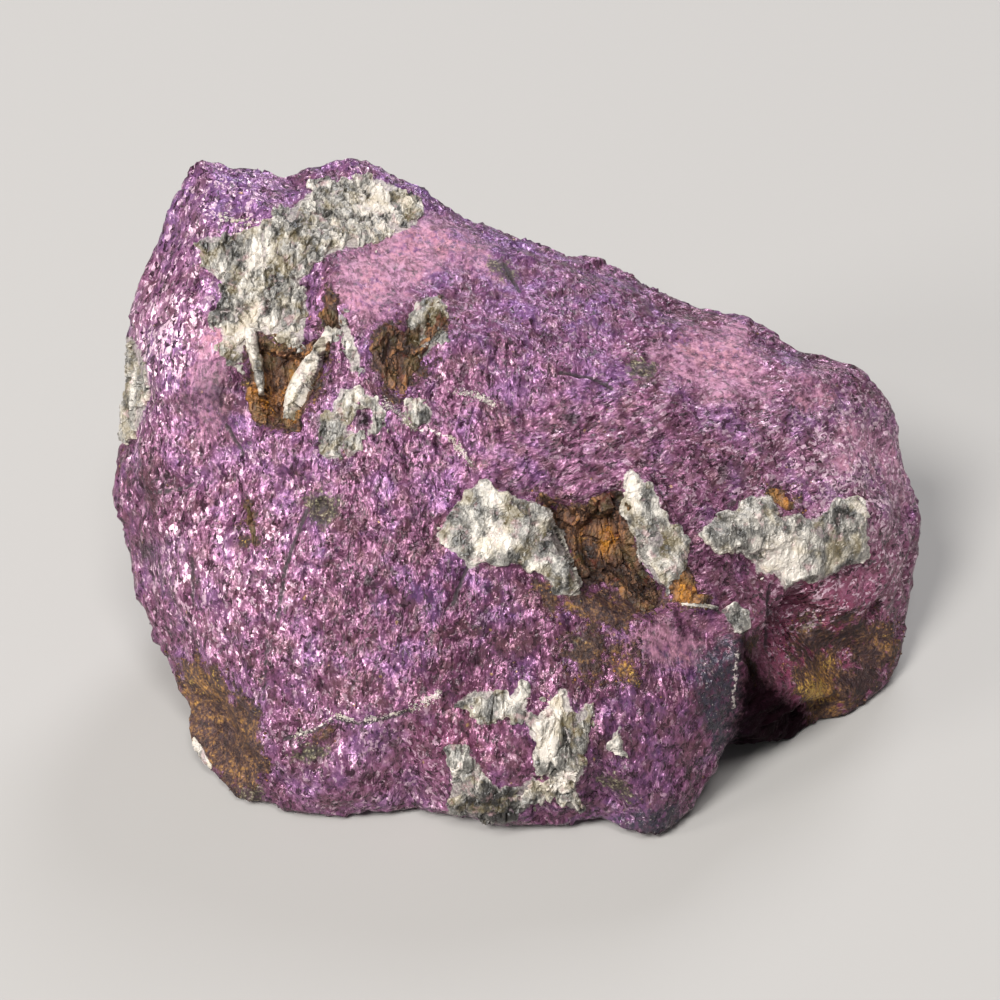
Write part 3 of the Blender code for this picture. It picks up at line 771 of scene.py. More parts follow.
def paint(red, green, blue):
    # A colour as a screen shows it, 0 to 255, turned into the shader's own linear values
    linear = [((c / 255 + 0.055) / 1.055) ** 2.4 if c > 10 else c / 255 / 12.92 for c in (red, green, blue)]
    return (*linear, 1)


def setStops(ramp, stops):
    # Each stop is its position and its colour's red, green and blue
    while len(ramp.elements) > 1:
        ramp.elements.remove(ramp.elements[-1])
    for count, (position, *colour) in enumerate(stops):
        element = ramp.elements[0] if count == 0 else ramp.elements.new(position)
        element.position = position
        element.color = paint(*colour)


def layered(colour, layers):
    # Each layer is how much of it shows and its colour, from the lowest up
    for share, tone in layers:
        colour = share.mixed(colour, tone)
    return colour


def newMaterial(name, constants):
    material = bpy.data.materials.new(name)
    material.use_nodes = True
    shader = material.node_tree.nodes["Principled BSDF"]
    for slot, value in constants.items():
        shader.inputs[slot].default_value = value
    return material, Wire(material.node_tree), shader


def plug(shader, slot, wire):
    wire.tree.links.new(wire.socket, shader.inputs[slot])


# The skin's finish. Sizes are in millimetres, because the shader reads the place in millimetres
finish = {
    "purpleStops": [
        (0.0, 48, 22, 36), (0.3, 94, 54, 78), (0.55, 134, 86, 115), (0.8, 166, 120, 148),
        (1.0, 206, 164, 184),
    ],
    "stainStops": [(0.0, 18, 16, 12), (0.4, 56, 50, 36), (0.72, 120, 114, 88), (1.0, 188, 184, 160)],
    "micaStops": [
        (0.0, 34, 32, 30), (0.22, 84, 82, 78), (0.45, 128, 125, 119), (0.68, 176, 171, 162),
        (1.0, 220, 214, 203),
    ],
    "rustStops": [
        (0.0, 28, 19, 17), (0.25, 60, 41, 32), (0.45, 100, 70, 52), (0.62, 136, 98, 68), (0.8, 156, 102, 44),
        (1.0, 204, 138, 44),
    ],
    "earthStops": [
        (0.0, 34, 22, 20), (0.3, 68, 46, 37), (0.5, 102, 74, 50), (0.7, 138, 100, 52), (1.0, 184, 138, 66),
    ],
    "plum": paint(118, 70, 98),
    "violet": paint(112, 80, 138),
    "brownish": paint(104, 70, 76),
    "ruddy": paint(136, 62, 84),
    "pink": paint(186, 136, 164),
    "salmon": paint(190, 132, 146),
    "black": paint(38, 28, 32),
    # The glint colour is a painted highlight, the next one painted shade in crevices
    "glint": paint(240, 206, 222),
    "crevice": paint(46, 27, 35),
    "umber": paint(48, 29, 24),
    "gold": paint(190, 156, 72),
    # Near-black for the cleft's painted shadow
    "gloom": paint(14, 8, 10),
    "steel": paint(60, 56, 68),
    "ochre": paint(170, 140, 84),
    "veinWhite": paint(224, 212, 206),
    # Size, detail and roughness of the plain patterns, from the broadest to the finest
    "broad": (3.2, 3.0, 0.55),
    "patchy": (1.5, 5.0, 0.66),
    "ragged": (0.5, 3.0, 0.65),
    "fine": (0.22, 2.0, 0.6),
    # The pattern that frays each kind's edge, how far it moves the edge, and how soft the edge is
    "regions": {
        "mica": ("ragged", 0.9, 0.12),
        "rust": ("patchy", 8.0, 0.6),
        "pink": ("patchy", 6.0, 1.6),
        "stain": ("ragged", 2.4, 0.5),
        "dusk": ("patchy", 4.0, 1.0),
        "gloom": ("ragged", 2.0, 1.4),
    },
    # How much of each colour shows where it lies
    "shares": {
        "violet": 0.4,
        "brownish": 0.6,
        "ochre": 0.6,
        "crevice": 0.8,
        "stain": 0.85,
        "pinch": 0.8,
        "line": 0.9,
        "rust": 0.95,
        "mica": 0.8,
        "gloom": 0.92,
    },
    "stretch": 2.0,             # how much longer folds and glints are along the fibres
    "levelSlope": 0.35,         # how much the level fibres climb to the right
    "wrinkle": (0.9, 0.24),     # size and bump of the larger folds, and of the finer crumple
    "crumple": (0.36, 0.11),
    "shards": (0.8, 0.27),      # sizes of the broken faces that lean and glint, coarse and small
    "shardTilts": (0.40, 0.5),  # how far each of them leans
    "crustBump": 0.45,          # of the rust stains
    # The pinch lines are painted shade in the folds
    "pinch": (0.47, 0.04),      # the crumple's height at which folds pinch, and how wide the dark line is
    "metal": 0.38,              # how metallic clean purple is
    "gloss": 0.22,              # and how rough
}


def skinMaterial():
    material, wire, shader = newMaterial("purpuriteSkin", {"IOR": 1.45})
    place, (acrossFace, upFace, outOfFace) = wire.faceAxes()
    steep = wire.joined(acrossFace, upFace / finish["stretch"], outOfFace)
    climbing = upFace - acrossFace * finish["levelSlope"]
    level = wire.joined(acrossFace / finish["stretch"], climbing, outOfFace)
    levelShare = wire.attribute("level").above(0.55, 0.5)
    warp = wire.noise(place, 0.5, out=1).centred().vector("SCALE", scale=0.7)

    def drawnNoise(size, detail, roughness, swirl):
        # Noise drawn out up the face or along it, whichever way the fibres run
        first, second = (wire.noise(way, size, detail, roughness, swirl) for way in (steep, level))
        return first + (second - first) * levelShare

    def drawnShards(size):
        # A random colour for each cell of this size, drawn out in the same way
        sockets = [{"Vector": way.vector("ADD", warp), "Scale": 1 / size} for way in (steep, level)]
        return levelShare.mixed(*(wire.node("TexVoronoi", {}, each, "Color") for each in sockets))

    shifted = place.vector("ADD", (31.0, 13.0, 2.0))
    broad, ragged, fine = (wire.noise(place, *finish[key]) for key in ("broad", "ragged", "fine"))
    patchy = wire.noise(shifted, *finish["patchy"])
    wrinkle = drawnNoise(finish["wrinkle"][0], 2.0, 0.5, 1.4)
    crumple = drawnNoise(finish["crumple"][0], 3.0, 0.62, 0.9)
    glow, smudge, warmth = (wire.attribute(name) for name in ("glow", "smudge", "warmth"))
    on = {}
    for kind, (pattern, frays, width) in finish["regions"].items():
        frayed = (patchy if pattern == "patchy" else ragged).around(frays)
        on[kind] = (wire.attribute(kind) + frayed).above(0.0, width)

    # The purple: painted shade in the folds of the crumpled cleavage and painted light on its crests, over
    # its own mottled tone
    coarse, small = (drawnShards(size) for size in finish["shards"])
    lit, unlit = (small.vector("DOT_PRODUCT", part) for part in ((1, 0, 0), (0, 1, 0)))
    shade = wrinkle.around(0.9) + crumple.around(1.2) + glow * 0.5 + 0.44
    shade = shade + coarse.vector("DOT_PRODUCT", (0.4, 0.3, 0.3)).around(0.4)
    shade = shade + small.vector("DOT_PRODUCT", (0.3, 0.3, 0.4)).around(0.3) + broad.around(0.5)
    hue = wire.attribute("hue") * (ragged + 0.2)
    # Painted glints: pale pink-white cells, most where the painted light is high
    glint = (lit + glow * 0.3 + crumple.around(0.9)).above(0.93, 0.06) * (glow * 0.9 + 0.3).clamped()
    # Painted crevice shade: dark cells, most in the folds
    crevice = (unlit + (0.5 - crumple) * 1.2 + patchy.around(0.5)).above(0.84, 0.06)

    # Pink zones are matt, and show the plum below them in the folds
    pinkTone = broad.above(0.5, 0.3).mixed(finish["pink"], finish["salmon"])
    pinkTone = ((0.56 - crumple) * 3.0).clamped().mixed(pinkTone, finish["plum"])
    matt = on["pink"] * ((ragged - 0.36) * 5).clamped() * (0.85 + glow * 0.6).clamped()

    # Painted shade as fine dark lines where the folds pinch, cracks as dark lines, veins as broken white ones
    pinch = crumple.atLine(*finish["pinch"]) * wire.noise(shifted, 1.1).above(0.5, 0.1)
    inCrack = (0.16 - wire.attribute("crack") + fine.around(0.25)).above(0.0, 0.12)
    inVein = (0.06 - wire.attribute("vein") + fine.around(0.5) + ragged.around(0.6)).above(0.0, 0.1)

    # Rust stains are umber to gold, and under the mica's frayed edges lies a thin dust of its own colour
    rust = patchy.around(-1.2) + ragged.around(1.8) + fine.around(1.3) + warmth * 0.2 + 0.38
    # Gold specks on the rust: yellow crystals, partly painted glints
    goldSpecksAndGlints = (fine * 0.6 + patchy * 0.5 + warmth * 0.07).above(0.72, 0.05)
    umberShare = wire.noise(place, 0.9, 4.0, 0.6).above(0.56, 0.1) * 0.7
    rustLayers = [(umberShare, finish["umber"]), (goldSpecksAndGlints * 0.8, finish["gold"])]
    rust = layered(rust.ramp(finish["earthStops"]), rustLayers)
    stain = (fine.around(2.0) + ragged.around(2.0) + 0.34).ramp(finish["stainStops"])
    dust = (fine * 1.1 + wire.attribute("pallor") * 0.2).ramp(finish["micaStops"])
    share = finish["shares"]
    layers = [
        ((broad.above(0.56, 0.2) * share["violet"] + hue).clamped(), finish["violet"]),
        ((hue * -0.8).clamped(), finish["ruddy"]),
        (wire.noise(place, 1.7, 4.0, 0.6).above(0.55, 0.14) * share["brownish"], finish["brownish"]),
        (wire.noise(shifted, 0.6, 1.0).above(0.775, 0.04) * share["ochre"], finish["ochre"]),
        (glint, finish["glint"]),
        (crevice * share["crevice"], finish["crevice"]),
        (matt, pinkTone),
        ((smudge * 1.2 * ragged + smudge * 0.3).clamped(), finish["black"]),
        # The bluish zones: partly stain, partly painted shade, with white flecks as painted glints
        ((on["dusk"] * (0.6 + (ragged - 0.45) * 4)).clamped(), finish["steel"]),
        (on["dusk"] * fine.above(0.67, 0.05) * 0.5, finish["veinWhite"]),
        (on["stain"] * share["stain"], stain),
        (pinch * share["pinch"], finish["black"]),
        (inCrack * share["line"], finish["black"]),
        (inVein * share["line"], finish["veinWhite"]),
        (on["rust"] * share["rust"], rust),
        (on["mica"] * share["mica"], dust),
        # The cleft's painted shadow
        (on["gloom"] * share["gloom"], finish["gloom"]),
    ]
    plug(shader, "Base Color", layered(shade.ramp(finish["purpleStops"]), layers))

    # Gloss: the purple is part metallic where it is clean, the pink and the stains are matt
    dull = on["pink"] * 0.7 + on["stain"] + inCrack + inVein + on["rust"] * 0.9 + on["mica"] + pinch * 0.6
    dull = (dull + on["gloom"]).clamped()
    clean = 1 - dull
    plug(shader, "Metallic", (clean * finish["metal"] + on["gloom"]).clamped())
    roughness = finish["gloss"] + dull * 0.4 + on["gloom"] * 0.3 + ragged.around(0.25)
    plug(shader, "Roughness", roughness.clamped())

    # Each splinter leans its own way, and the cleavage is crumpled like foil
    normal = wire.node("NewGeometry", {}, {}, "Normal")
    for shards, tilt in zip((coarse, small), finish["shardTilts"]):
        normal = normal.vector("ADD", shards.centred().vector("SCALE", scale=(clean * 0.8 + 0.2) * tilt))
    normal = normal.vector("NORMALIZE")
    for pattern, (_, depth) in ((wrinkle, finish["wrinkle"]), (crumple, finish["crumple"])):
        normal = (pattern * (1 - (on["pink"] + on["rust"]).clamped() * 0.5)).bump(depth, normal)
    normal = ((patchy + ragged * 0.6 + fine * 0.3) * on["rust"]).bump(finish["crustBump"], normal)
    plug(shader, "Normal", normal)
    return material


def crustMaterial(name, stops, balance):
    # A crust's colour runs along its stops with the place's own paleness, its leaf's shade and two grains
    material, wire, shader = newMaterial(name, {"IOR": balance["ior"]})
    place, (acrossFace, upFace, outOfFace) = wire.faceAxes()
    pallor, column = wire.attribute("pallor"), wire.attribute("column")
    warp = wire.noise(place, 0.6, 3.0, out=1).centred().vector("SCALE", scale=0.8)

    def drawn(by):
        # The place drawn out up the face, with a wavering course
        return wire.joined(acrossFace, upFace / by, outOfFace).vector("ADD", warp)

    def patches(size, shift, edge, width):
        return wire.noise(place.vector("ADD", shift), size, 4.0, 0.62).above(edge, width)

    longer = drawn(column * balance["columnStretch"] + balance["stretch"])
    mottled = wire.noise(longer, balance["mottle"], 6.0, 0.62)
    shade = balance["middle"] + pallor * balance["pallor"] + mottled.around(balance["contrast"])
    shade = shade + wire.attribute("shade").around(balance["shade"])

    # Leaves: each its own shade and slope, with painted shade in the gap round it and a painted highlight
    # along its edge inside the gap
    sockets = {"Vector": longer, "Scale": 1 / balance["leaf"]}
    gap = wire.node("TexVoronoi", {"feature": "DISTANCE_TO_EDGE"}, sockets, "Distance")
    leaf = wire.node("TexVoronoi", {}, sockets, "Color").centred()
    shade = shade + leaf.vector("DOT_PRODUCT", (0.4, 0.4, 0.4)) * balance["leafShade"]
    gapShadeShare = column * balance["columnGapShade"] + balance["gap"]
    shade = shade - (1 - gap / 0.06).clamped() * gapShadeShare * mottled.above(0.5, 0.2)
    shade = shade + gap.atLine(0.11, 0.06) * balance["edgeLight"]
    shade = shade + wire.noise(drawn(5), 0.2, 4.0, 0.62).around(balance["silk"])
    # A painted highlight along the mica sheet's own edge; the rust's edge is a little darker
    shade = shade + ((0.2 - wire.attribute("inward")) * 5).clamped() * balance["rim"]
    core = (pallor * 1.2 + mottled.around(3) + shade.around(0.6)).above(0.75, 0.4)
    layers = [
        (core * balance["coreShare"], balance["core"]),
        (patches(2.0, (5.0, 1.0, 8.0), 0.56, 0.12) * balance["tintShare"], balance["tint"]),
        (patches(1.0, (15.0, 7.0, 3.0), 0.62, 0.1) * balance["stainShare"], balance["stain"]),
    ]
    plug(shader, "Base Color", layered(shade.ramp(stops), layers))
    plug(shader, "Roughness", (balance["roughness"] + mottled.around(0.4)).clamped())
    lean = leaf.vector("SCALE", scale=balance["tilt"])
    normal = wire.node("NewGeometry", {}, {}, "Normal").vector("ADD", lean).vector("NORMALIZE")
    plug(shader, "Normal", shade.bump(balance["bump"], normal))
    return material


micaBalance = {
    "ior": 1.55,
    "stretch": 1.5,        # how far the grain is drawn out up the face, and how much more in columns
    "columnStretch": 1.8,
    "mottle": 1.2,         # size of the mottling and how strong it is
    "contrast": 2.4,
    "middle": 0.40,        # where the mean shade lies on the stops
    "pallor": 0.20,        # how much the place's own paleness counts
    "core": paint(208, 200, 189),
    "coreShare": 0.7,
    "shade": 0.35,         # how much the sheet's own leaves count
    "leaf": 0.8,           # size of the painted leaves, their shade, and the gaps round them
    "leafShade": 0.30,
    # The gaps are painted shade, and the edge light a painted highlight
    "gap": 0.08,
    "columnGapShade": 0.25,
    "edgeLight": 0.10,
    "silk": 0.9,           # fine streaks
    # The lighter edge is a painted highlight
    "rim": 0.2,            # how much lighter the sheet's own edge is
    "tint": paint(160, 142, 96),
    "tintShare": 0.3,
    "stain": paint(186, 150, 152),
    "stainShare": 0.4,
    "roughness": 0.36,
    "tilt": 0.16,
    "bump": 0.05,
}
rustBalance = {
    "ior": 1.45,
    "stretch": 3.0,
    "columnStretch": 0.0,
    "mottle": 1.1,
    "contrast": 1.9,
    "middle": 0.48,
    "pallor": 0.22,
    "core": paint(152, 108, 44),
    "coreShare": 0.3,
    "shade": 0.4,
    "leaf": 0.7,
    "leafShade": 0.4,
    "gap": 0.5,
    "columnGapShade": 0.0,
    "edgeLight": 0.05,
    "silk": 0.6,
    "rim": -0.1,
    "tint": paint(92, 80, 44),
    "tintShare": 0.45,
    "stain": paint(110, 58, 44),
    "stainShare": 0.6,
    "roughness": 0.5,
    "tilt": 0.35,
    "bump": 0.16,
}
print("mixing the finishes")
micaFinish = crustMaterial("mica", finish["micaStops"], micaBalance)
rustFinish = crustMaterial("rust", finish["rustStops"], rustBalance)
skinFinish = skinMaterial()
mesh = buildMesh("purpuriteSkin", points, quads.ravel(), np.arange(len(quads)) * 4)
for name, given in values.items():
    addValues(mesh, name, given)
stoneSkin = placePiece("purpuriteSkin", mesh, skinFinish, True)
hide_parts("purpurite_stone")

# Crusts: closed sheets of fine cells that lie on the skin. All sizes are in millimetres
crust = {
    "sink": 0.45,                     # how far a sheet's underside is below the skin
    "from": {1: 40, -1: -50},         # the depth from which it is laid on the front (1) or the back (-1)
    "fraySize": 1.1,
    "slip": 0.6,                      # how many cells an edge point may slip to the outline
    "faceOn": -0.25,                  # cells stop where the skin turns edge on to the laying
    "longest": 8,                     # and where they would be this many cells long
    "rimPower": 0.6,                  # below 1, so that the rim is blunt
    "lowest": {"top": 0.02, "under": 0.01},  # above the floor
}
skinTree = BVHTree.FromPolygons(points.tolist(), quads.tolist())


def crustCells(outline, cell, fray, seed):
    # A grid of cells over an outline: the corners across and up, how far each is in from the frayed edge, and
    # which cells are inside. Cells that touch only at a corner are joined up
    corners = np.array(outline)
    low = corners.min(axis=0) - 4 * cell
    counts = np.ceil((corners.max(axis=0) - low) / cell).astype(int) + 4
    u, v = np.meshgrid(np.arange(counts[0]), np.arange(counts[1]), indexing="ij")
    flat = np.column_stack([low[0] + u.ravel() * cell, low[1] + v.ravel() * cell, np.zeros(u.size)])
    inward = insideBy(flat[:, 0] * mm, flat[:, 1] * mm, outline) / mm
    inward = (inward + cloud(flat, crust["fraySize"], seed, 3) * fray).reshape(u.shape)
    kept = (inward[:-1, :-1] + inward[1:, :-1] + inward[1:, 1:] + inward[:-1, 1:]) > 0
    kept[[0, -1]] = kept[:, [0, -1]] = False
    for _ in range(6):
        a, b, c, d = kept[:-1, :-1], kept[1:, :-1], kept[1:, 1:], kept[:-1, 1:]
        crossed = (a & c & ~b & ~d) | (b & d & ~a & ~c)
        for corner in (a, b, c, d):
            corner |= crossed
    return flat, inward, kept


def slipped(flat, inward, kept, cell):
    # Points on the border of the kept cells slip along the slope of inward, onto the frayed outline. Gives
    # inward at their new places, and how many kept cells meet at each point
    slopes = np.gradient(inward, cell)
    steep = np.maximum(slopes[0] ** 2 + slopes[1] ** 2, 0.25)
    around = np.zeros(inward.shape, int)
    for shiftU, shiftV in ((0, 0), (1, 0), (1, 1), (0, 1)):
        around[shiftU : shiftU + kept.shape[0], shiftV : shiftV + kept.shape[1]] += kept
    border = (around > 0) & (around < 4)
    most = crust["slip"] * cell
    lost = np.zeros(inward.shape)
    for axis, slope in enumerate(slopes):
        pull = np.clip(inward * slope / steep, -most, most) * border
        flat[:, axis] -= pull.ravel()
        lost += pull * slope
    return inward - lost, around


def laidOn(spots, side):
    # Where each spot, given across and up, lands on the skin from in front or behind: the point, the skin's
    # outward direction there before its relief, and whether the ray missed or met the skin edge on
    starts = standUp(np.column_stack([spots * mm, np.full(len(spots), crust["from"][side] * mm)]))
    ways = standUp(np.column_stack([spots * mm, np.zeros(len(spots))])) - starts
    ways /= np.linalg.norm(ways, axis=1)[:, None]
    hits = [skinTree.ray_cast(start, way) for start, way in zip(starts.tolist(), ways.tolist())]
    missed = np.array([hit[0] is None for hit in hits])
    base = np.array([hit[0] or (0, 0, 0) for hit in hits])
    face = np.array([0 if hit[2] is None else hit[2] for hit in hits], int)
    out = calmNormals[quads[face]].mean(axis=1)
    out /= np.linalg.norm(out, axis=1)[:, None]
    return base, out, missed | ((out * ways).sum(axis=1) > crust["faceOn"])


def closedFaces(quad, kept, count):
    # Top, underside and, where a kept cell has no neighbour, a wall between them
    faces = [quad[kept], quad[kept][:, ::-1] + count]
    padded = np.pad(kept, 1)
    neighbours = (padded[1:-1, :-2], padded[2:, 1:-1], padded[1:-1, 2:], padded[:-2, 1:-1])
    for k, beside in enumerate(neighbours):
        outer = quad[kept & ~beside]
        here, there = outer[:, k], outer[:, (k + 1) % 4]
        faces.append(np.column_stack([here, here + count, there + count, there]))
    return np.concatenate(faces)


def crustSheet(shape, side, seed):
    # One sheet: its top is lifted off the skin by the rim's profile and the relief, its underside is sunk
    cell = shape["cell"]
    flat, inward, kept = crustCells(shape["outline"], cell, shape["fray"], seed)
    inward, around = slipped(flat, inward, kept, cell)
    used = (around > 0).ravel()
    index = (np.cumsum(used) - 1).reshape(around.shape)
    spots, inward = flat[used, :2], inward.ravel()[used]
    base, out, missed = laidOn(spots, side)
    quad = np.stack([index[:-1, :-1], index[1:, :-1], index[1:, 1:], index[:-1, 1:]], axis=-1)
    sides = [np.linalg.norm(base[quad[..., k]] - base[quad[..., k - 1]], axis=-1) for k in range(4)]
    kept = kept & ~missed[quad].any(axis=-1) & (np.max(sides, axis=0) < crust["longest"] * cell * mm)

    rim = np.clip((inward + 0.5 * cell) / shape["rim"], 0, 1) ** crust["rimPower"]
    lift, shade = shape["relief"](base / mm, seed)
    top = base + out * ((shape["thick"] * rim * (0.75 + lift) + shape["raise"]) * mm)[:, None]
    under = base - out * crust["sink"] * mm
    for layer, key in ((top, "top"), (under, "under")):
        layer[:, 2] = np.maximum(layer[:, 2], crust["lowest"][key] * mm)
    faces = closedFaces(quad, kept, len(base))
    corners, faces = np.unique(faces if side > 0 else faces[:, ::-1], return_inverse=True)
    pallor = spotted(shape["pale"], *spots.T)
    given = {"inward": inward, "shade": shade, "pallor": pallor, "column": shape["column"]}
    given = {key: np.tile(np.broadcast_to(value, len(base)), 2)[corners] for key, value in given.items()}
    return np.concatenate([top, under])[corners], faces.reshape(-1, 4), given


def makeCrusts(name, sheets, material):
    # All sheets of a kind as one piece; each is (shape, side)
    placed, faces, given, total = [], [], {}, 0
    for count, (shape, side) in enumerate(sheets):
        corners, sheetFaces, sheetValues = crustSheet(shape, side, 100 + 13 * count)
        placed.append(corners)
        faces.append(sheetFaces + total)
        total += len(corners)
        for key, value in sheetValues.items():
            given.setdefault(key, []).append(value)
    faces = np.concatenate(faces)
    built = buildMesh(name, np.concatenate(placed), faces.ravel(), np.arange(len(faces)) * 4)
    for key, value in given.items():
        addValues(built, key, np.concatenate(value))
    placePiece(name, built, material, False)


def upward(places, by):
    # Places drawn out up the face by this factor
    return stretched(places, np.broadcast_to(upTheFace, places.shape), by)


def leafRelief(places, seed):
    # Mica in thin leaves: terraces that step down by whole leaves, each tilted a little, and a scaly grain
    level = cloud(places, 1.8, seed, 4) * 1.6 + 2
    terrace = np.floor(level * 2) / 2 + np.clip((level * 2 % 1) * 8, 0, 1) / 2 - 2
    tilt, chance, _ = cells(upward(places, 2.0), 0.7, seed + 3)
    scale, _, _ = cells(upward(places, 2.0), 0.3, seed + 5)
    lift = 0.5 * terrace + 0.4 * tilt + 0.2 * scale + 0.2 * (chance - 0.5)
    return lift, chance * 0.6 + 0.3 * terrace + 0.2


def columnRelief(places, seed):
    # Mica on edge: columns a few millimetres long that stand up the face, each with its own slope
    tilt, chance, edge = cells(upward(places, 3.0), 0.8, seed)
    fineTilt, fineChance, _ = cells(upward(places, 3.0), 0.35, seed + 3)
    gap = np.clip(1 - edge * 6, 0, 1)
    lift = 0.7 * (chance - 0.5) + 0.7 * tilt + 0.3 * fineTilt + 0.2 * (fineChance - 0.5) - 0.4 * gap
    return lift, chance * 0.5 + fineChance * 0.5 - 0.3 * gap


def splinterRelief(places, seed):
    # Rusty wood-like splinters up the face, with deep gaps between them
    tilt, chance, edge = cells(upward(places, 3.0), 0.9, seed)
    fineTilt, _, _ = cells(upward(places, 3.0), 0.35, seed + 3)
    grit = cloud(places, 0.3, seed + 7, 3)
    gap = np.clip(1 - edge * 5, 0, 1)
    lift = 0.9 * tilt + 0.9 * (chance - 0.5) + 0.15 * fineTilt - 0.4 * gap + 0.2 * grit
    return lift, np.clip(0.5 + 0.45 * lift, 0, 1.2)


def ridgeRelief(places, seed):
    # A blade: nearly smooth, with a few long scratches
    lift = 0.15 * cloud(upward(places, 4.0), 0.5, seed, 2) + 0.1 * cloud(places, 0.3, seed + 7, 2)
    return lift, np.full(len(places), 0.5)


def lumpRelief(places, seed):
    # Rusty lumps with hollows between them
    tilt, chance, _ = cells(places, 1.1, seed)
    fineTilt, _, _ = cells(places, 0.4, seed + 3)
    grit = cloud(places, 0.8, seed + 7, 4)
    lift = 0.5 * tilt + 0.4 * (chance - 0.5) + 0.1 * fineTilt + 0.8 * grit
    return lift, np.clip(0.5 + 0.4 * lift, 0, 1.2)


def sheet(outline, **changes):
    usual = {"relief": leafRelief, "thick": 0.28, "rim": 0.14, "fray": 0.4, "raise": 0.0, "column": 0.0}
    return {**usual, "outline": outline, "pale": micaPallor, "cell": 0.1, **changes}


# White blades that stand in the upper pocket, and thin white flakes elsewhere
blades = {
    "broad": [
        (-13.9, 13.2), (-13.7, 12.2), (-14.1, 10.8), (-15.1, 8.7), (-16.4, 6.4), (-17.1, 6.0), (-17.2, 7.4),
        (-16.9, 8.9), (-16.0, 10.6), (-14.9, 12.2),
    ],
    "narrow": [
        (-20.3, 13.5), (-19.6, 13.5), (-19.2, 12.0), (-19.0, 9.6), (-19.0, 8.2), (-19.5, 8.2), (-19.7, 10.0),
        (-20.2, 12.0),
    ],
    "brown": [(-13.6, 14.6), (-12.9, 16.4), (-13.3, 13.6), (-13.8, 11.6), (-14.3, 12.6)],
    "flake": [(-24.6, -18.1), (-24.2, -19.3), (-23.2, -20.9), (-23.0, -21.5), (-23.8, -20.9), (-24.5, -19.5)],
    "knob": [(10.1, 1.9), (10.6, 2.4), (11.2, 1.9), (11.1, 1.2), (10.5, 0.9), (10.0, 1.3)],
    "wisp": [(14.6, -7.9), (15.8, -8.1), (17.4, -8.6), (17.3, -8.8), (15.6, -8.5), (14.5, -8.3)],
}
bladeShape = {"relief": ridgeRelief, "rim": 0.3, "fray": 0.1, "cell": 0.07, "pale": [(0.0, 0.0, 99.0, 0.6)]}
tall = {"thick": 0.7, "raise": 0.5}
wispPale = [(14.8, -8.1, 1.0, 0.8), (16.8, -8.6, 1.0, -0.6)]
bladeShapes = {"broad": tall, "narrow": tall, "wisp": {"pale": wispPale}}
columns = {"relief": columnRelief, "thick": 0.4, "column": 1.0, "fray": 0.9}
crumbly = {"relief": columnRelief, "column": 0.6, "fray": 1.3}
micaShapes = {key: columns for key in ("topBand", "leftStrip", "foot")}
micaShapes |= {key: crumbly for key in ("whiteStreak", "corner", "footUpper", "hollowFlakes", "veinSpot")}
micaShapes |= {key: crumbly | {"fray": 0.7} for key in ("speckled", "speckleRing", "speckleLow")}
micaSheets = []
for key, outline in blades.items():
    shape = {"thick": 0.3, "raise": 0.05} | bladeShape | bladeShapes.get(key, {})
    micaSheets.append((sheet(outline, **shape), 1))
micaSheets += [(sheet(outline, **micaShapes.get(key, {})), 1) for key, outline in micaPatches.items()]
micaSheets += [(sheet(outline, cell=0.2), -1) for outline in backMica.values()]

lumps = {"relief": lumpRelief, "thick": 0.45, "rim": 0.5, "fray": 0.5, "pale": rustWarmth}
splintery = lumps | {"relief": splinterRelief}
rustShapes = {
    "bladePocket": splintery,
    "hollow": splintery,
    "sliver": lumps,
    "pocket": splintery,
    "amber": lumps,
    "plateAmber": lumps,
    "slit": splintery | {"fray": 0.1},
}
rustSheets = [(sheet(rustPockets[key], **shape), 1) for key, shape in rustShapes.items()]
backLumps = lumps | {"thick": 0.35, "fray": 0.6, "pale": (), "cell": 0.2}
rustSheets += [(sheet(outline, **backLumps), -1) for outline in backRust.values()]
print("laying the crusts")
makeCrusts("micaCrusts", micaSheets, micaFinish)
makeCrusts("rustCrusts", rustSheets, rustFinish)


# Small closed lumps of eight faces: how many, from and to which size in millimetres, and how pale
crumbs = {
    "whiteCrumbs": {"count": 1800, "sizes": (0.05, 0.2), "pallor": 0.7, "finish": micaFinish, "seed": 7},
    "rustCrumbs": {"count": 900, "sizes": (0.1, 0.34), "pallor": -0.5, "finish": rustFinish, "seed": 8},
}


def makeCrumbs(name, weight):
    # Each lump is half sunk in the skin, scattered by chance where the weight is high
    shape = crumbs[name]
    count = shape["count"]
    rng = np.random.default_rng(shape["seed"])
    odds = areas * np.clip(weight, 0, None) * (points[:, 2] > 0.4 * mm)
    picked = rng.choice(len(points), count, p=odds / odds.sum())
    ends = np.array([(1, 0, 0), (0, 1, 0), (-1, 0, 0), (0, -1, 0), (0, 0, 1), (0, 0, -1)], float)
    size = rng.uniform(*shape["sizes"], (count, 1, 1)) * rng.uniform(0.6, 1.0, (count, 6, 1)) * mm / 2
    turned = np.linalg.qr(rng.normal(size=(count, 3, 3)))[0]
    turned *= np.sign(np.linalg.det(turned))[:, None, None]
    shift = rng.uniform(-0.15, 0.15, (count, 3)) * mm
    shift -= normals[picked] * (shift * normals[picked]).sum(1)[:, None]
    corners = (points[picked] + shift)[:, None] + np.einsum("kc,ncd->nkd", ends, turned) * size
    corners[..., 2] = np.maximum(corners[..., 2], 0.02 * mm)
    ring = ((0, 1), (1, 2), (2, 3), (3, 0))
    built = joinCopies(name, corners, [(a, b, 4) for a, b in ring] + [(b, a, 5) for a, b in ring])
    shade = np.repeat(rng.random(count), 6)
    given = {"pallor": shape["pallor"], "shade": shade, "inward": 1.0, "column": 0.0}
    for key, value in given.items():
        addValues(built, key, np.broadcast_to(value, count * 6))
    placePiece(name, built, shape["finish"], False)


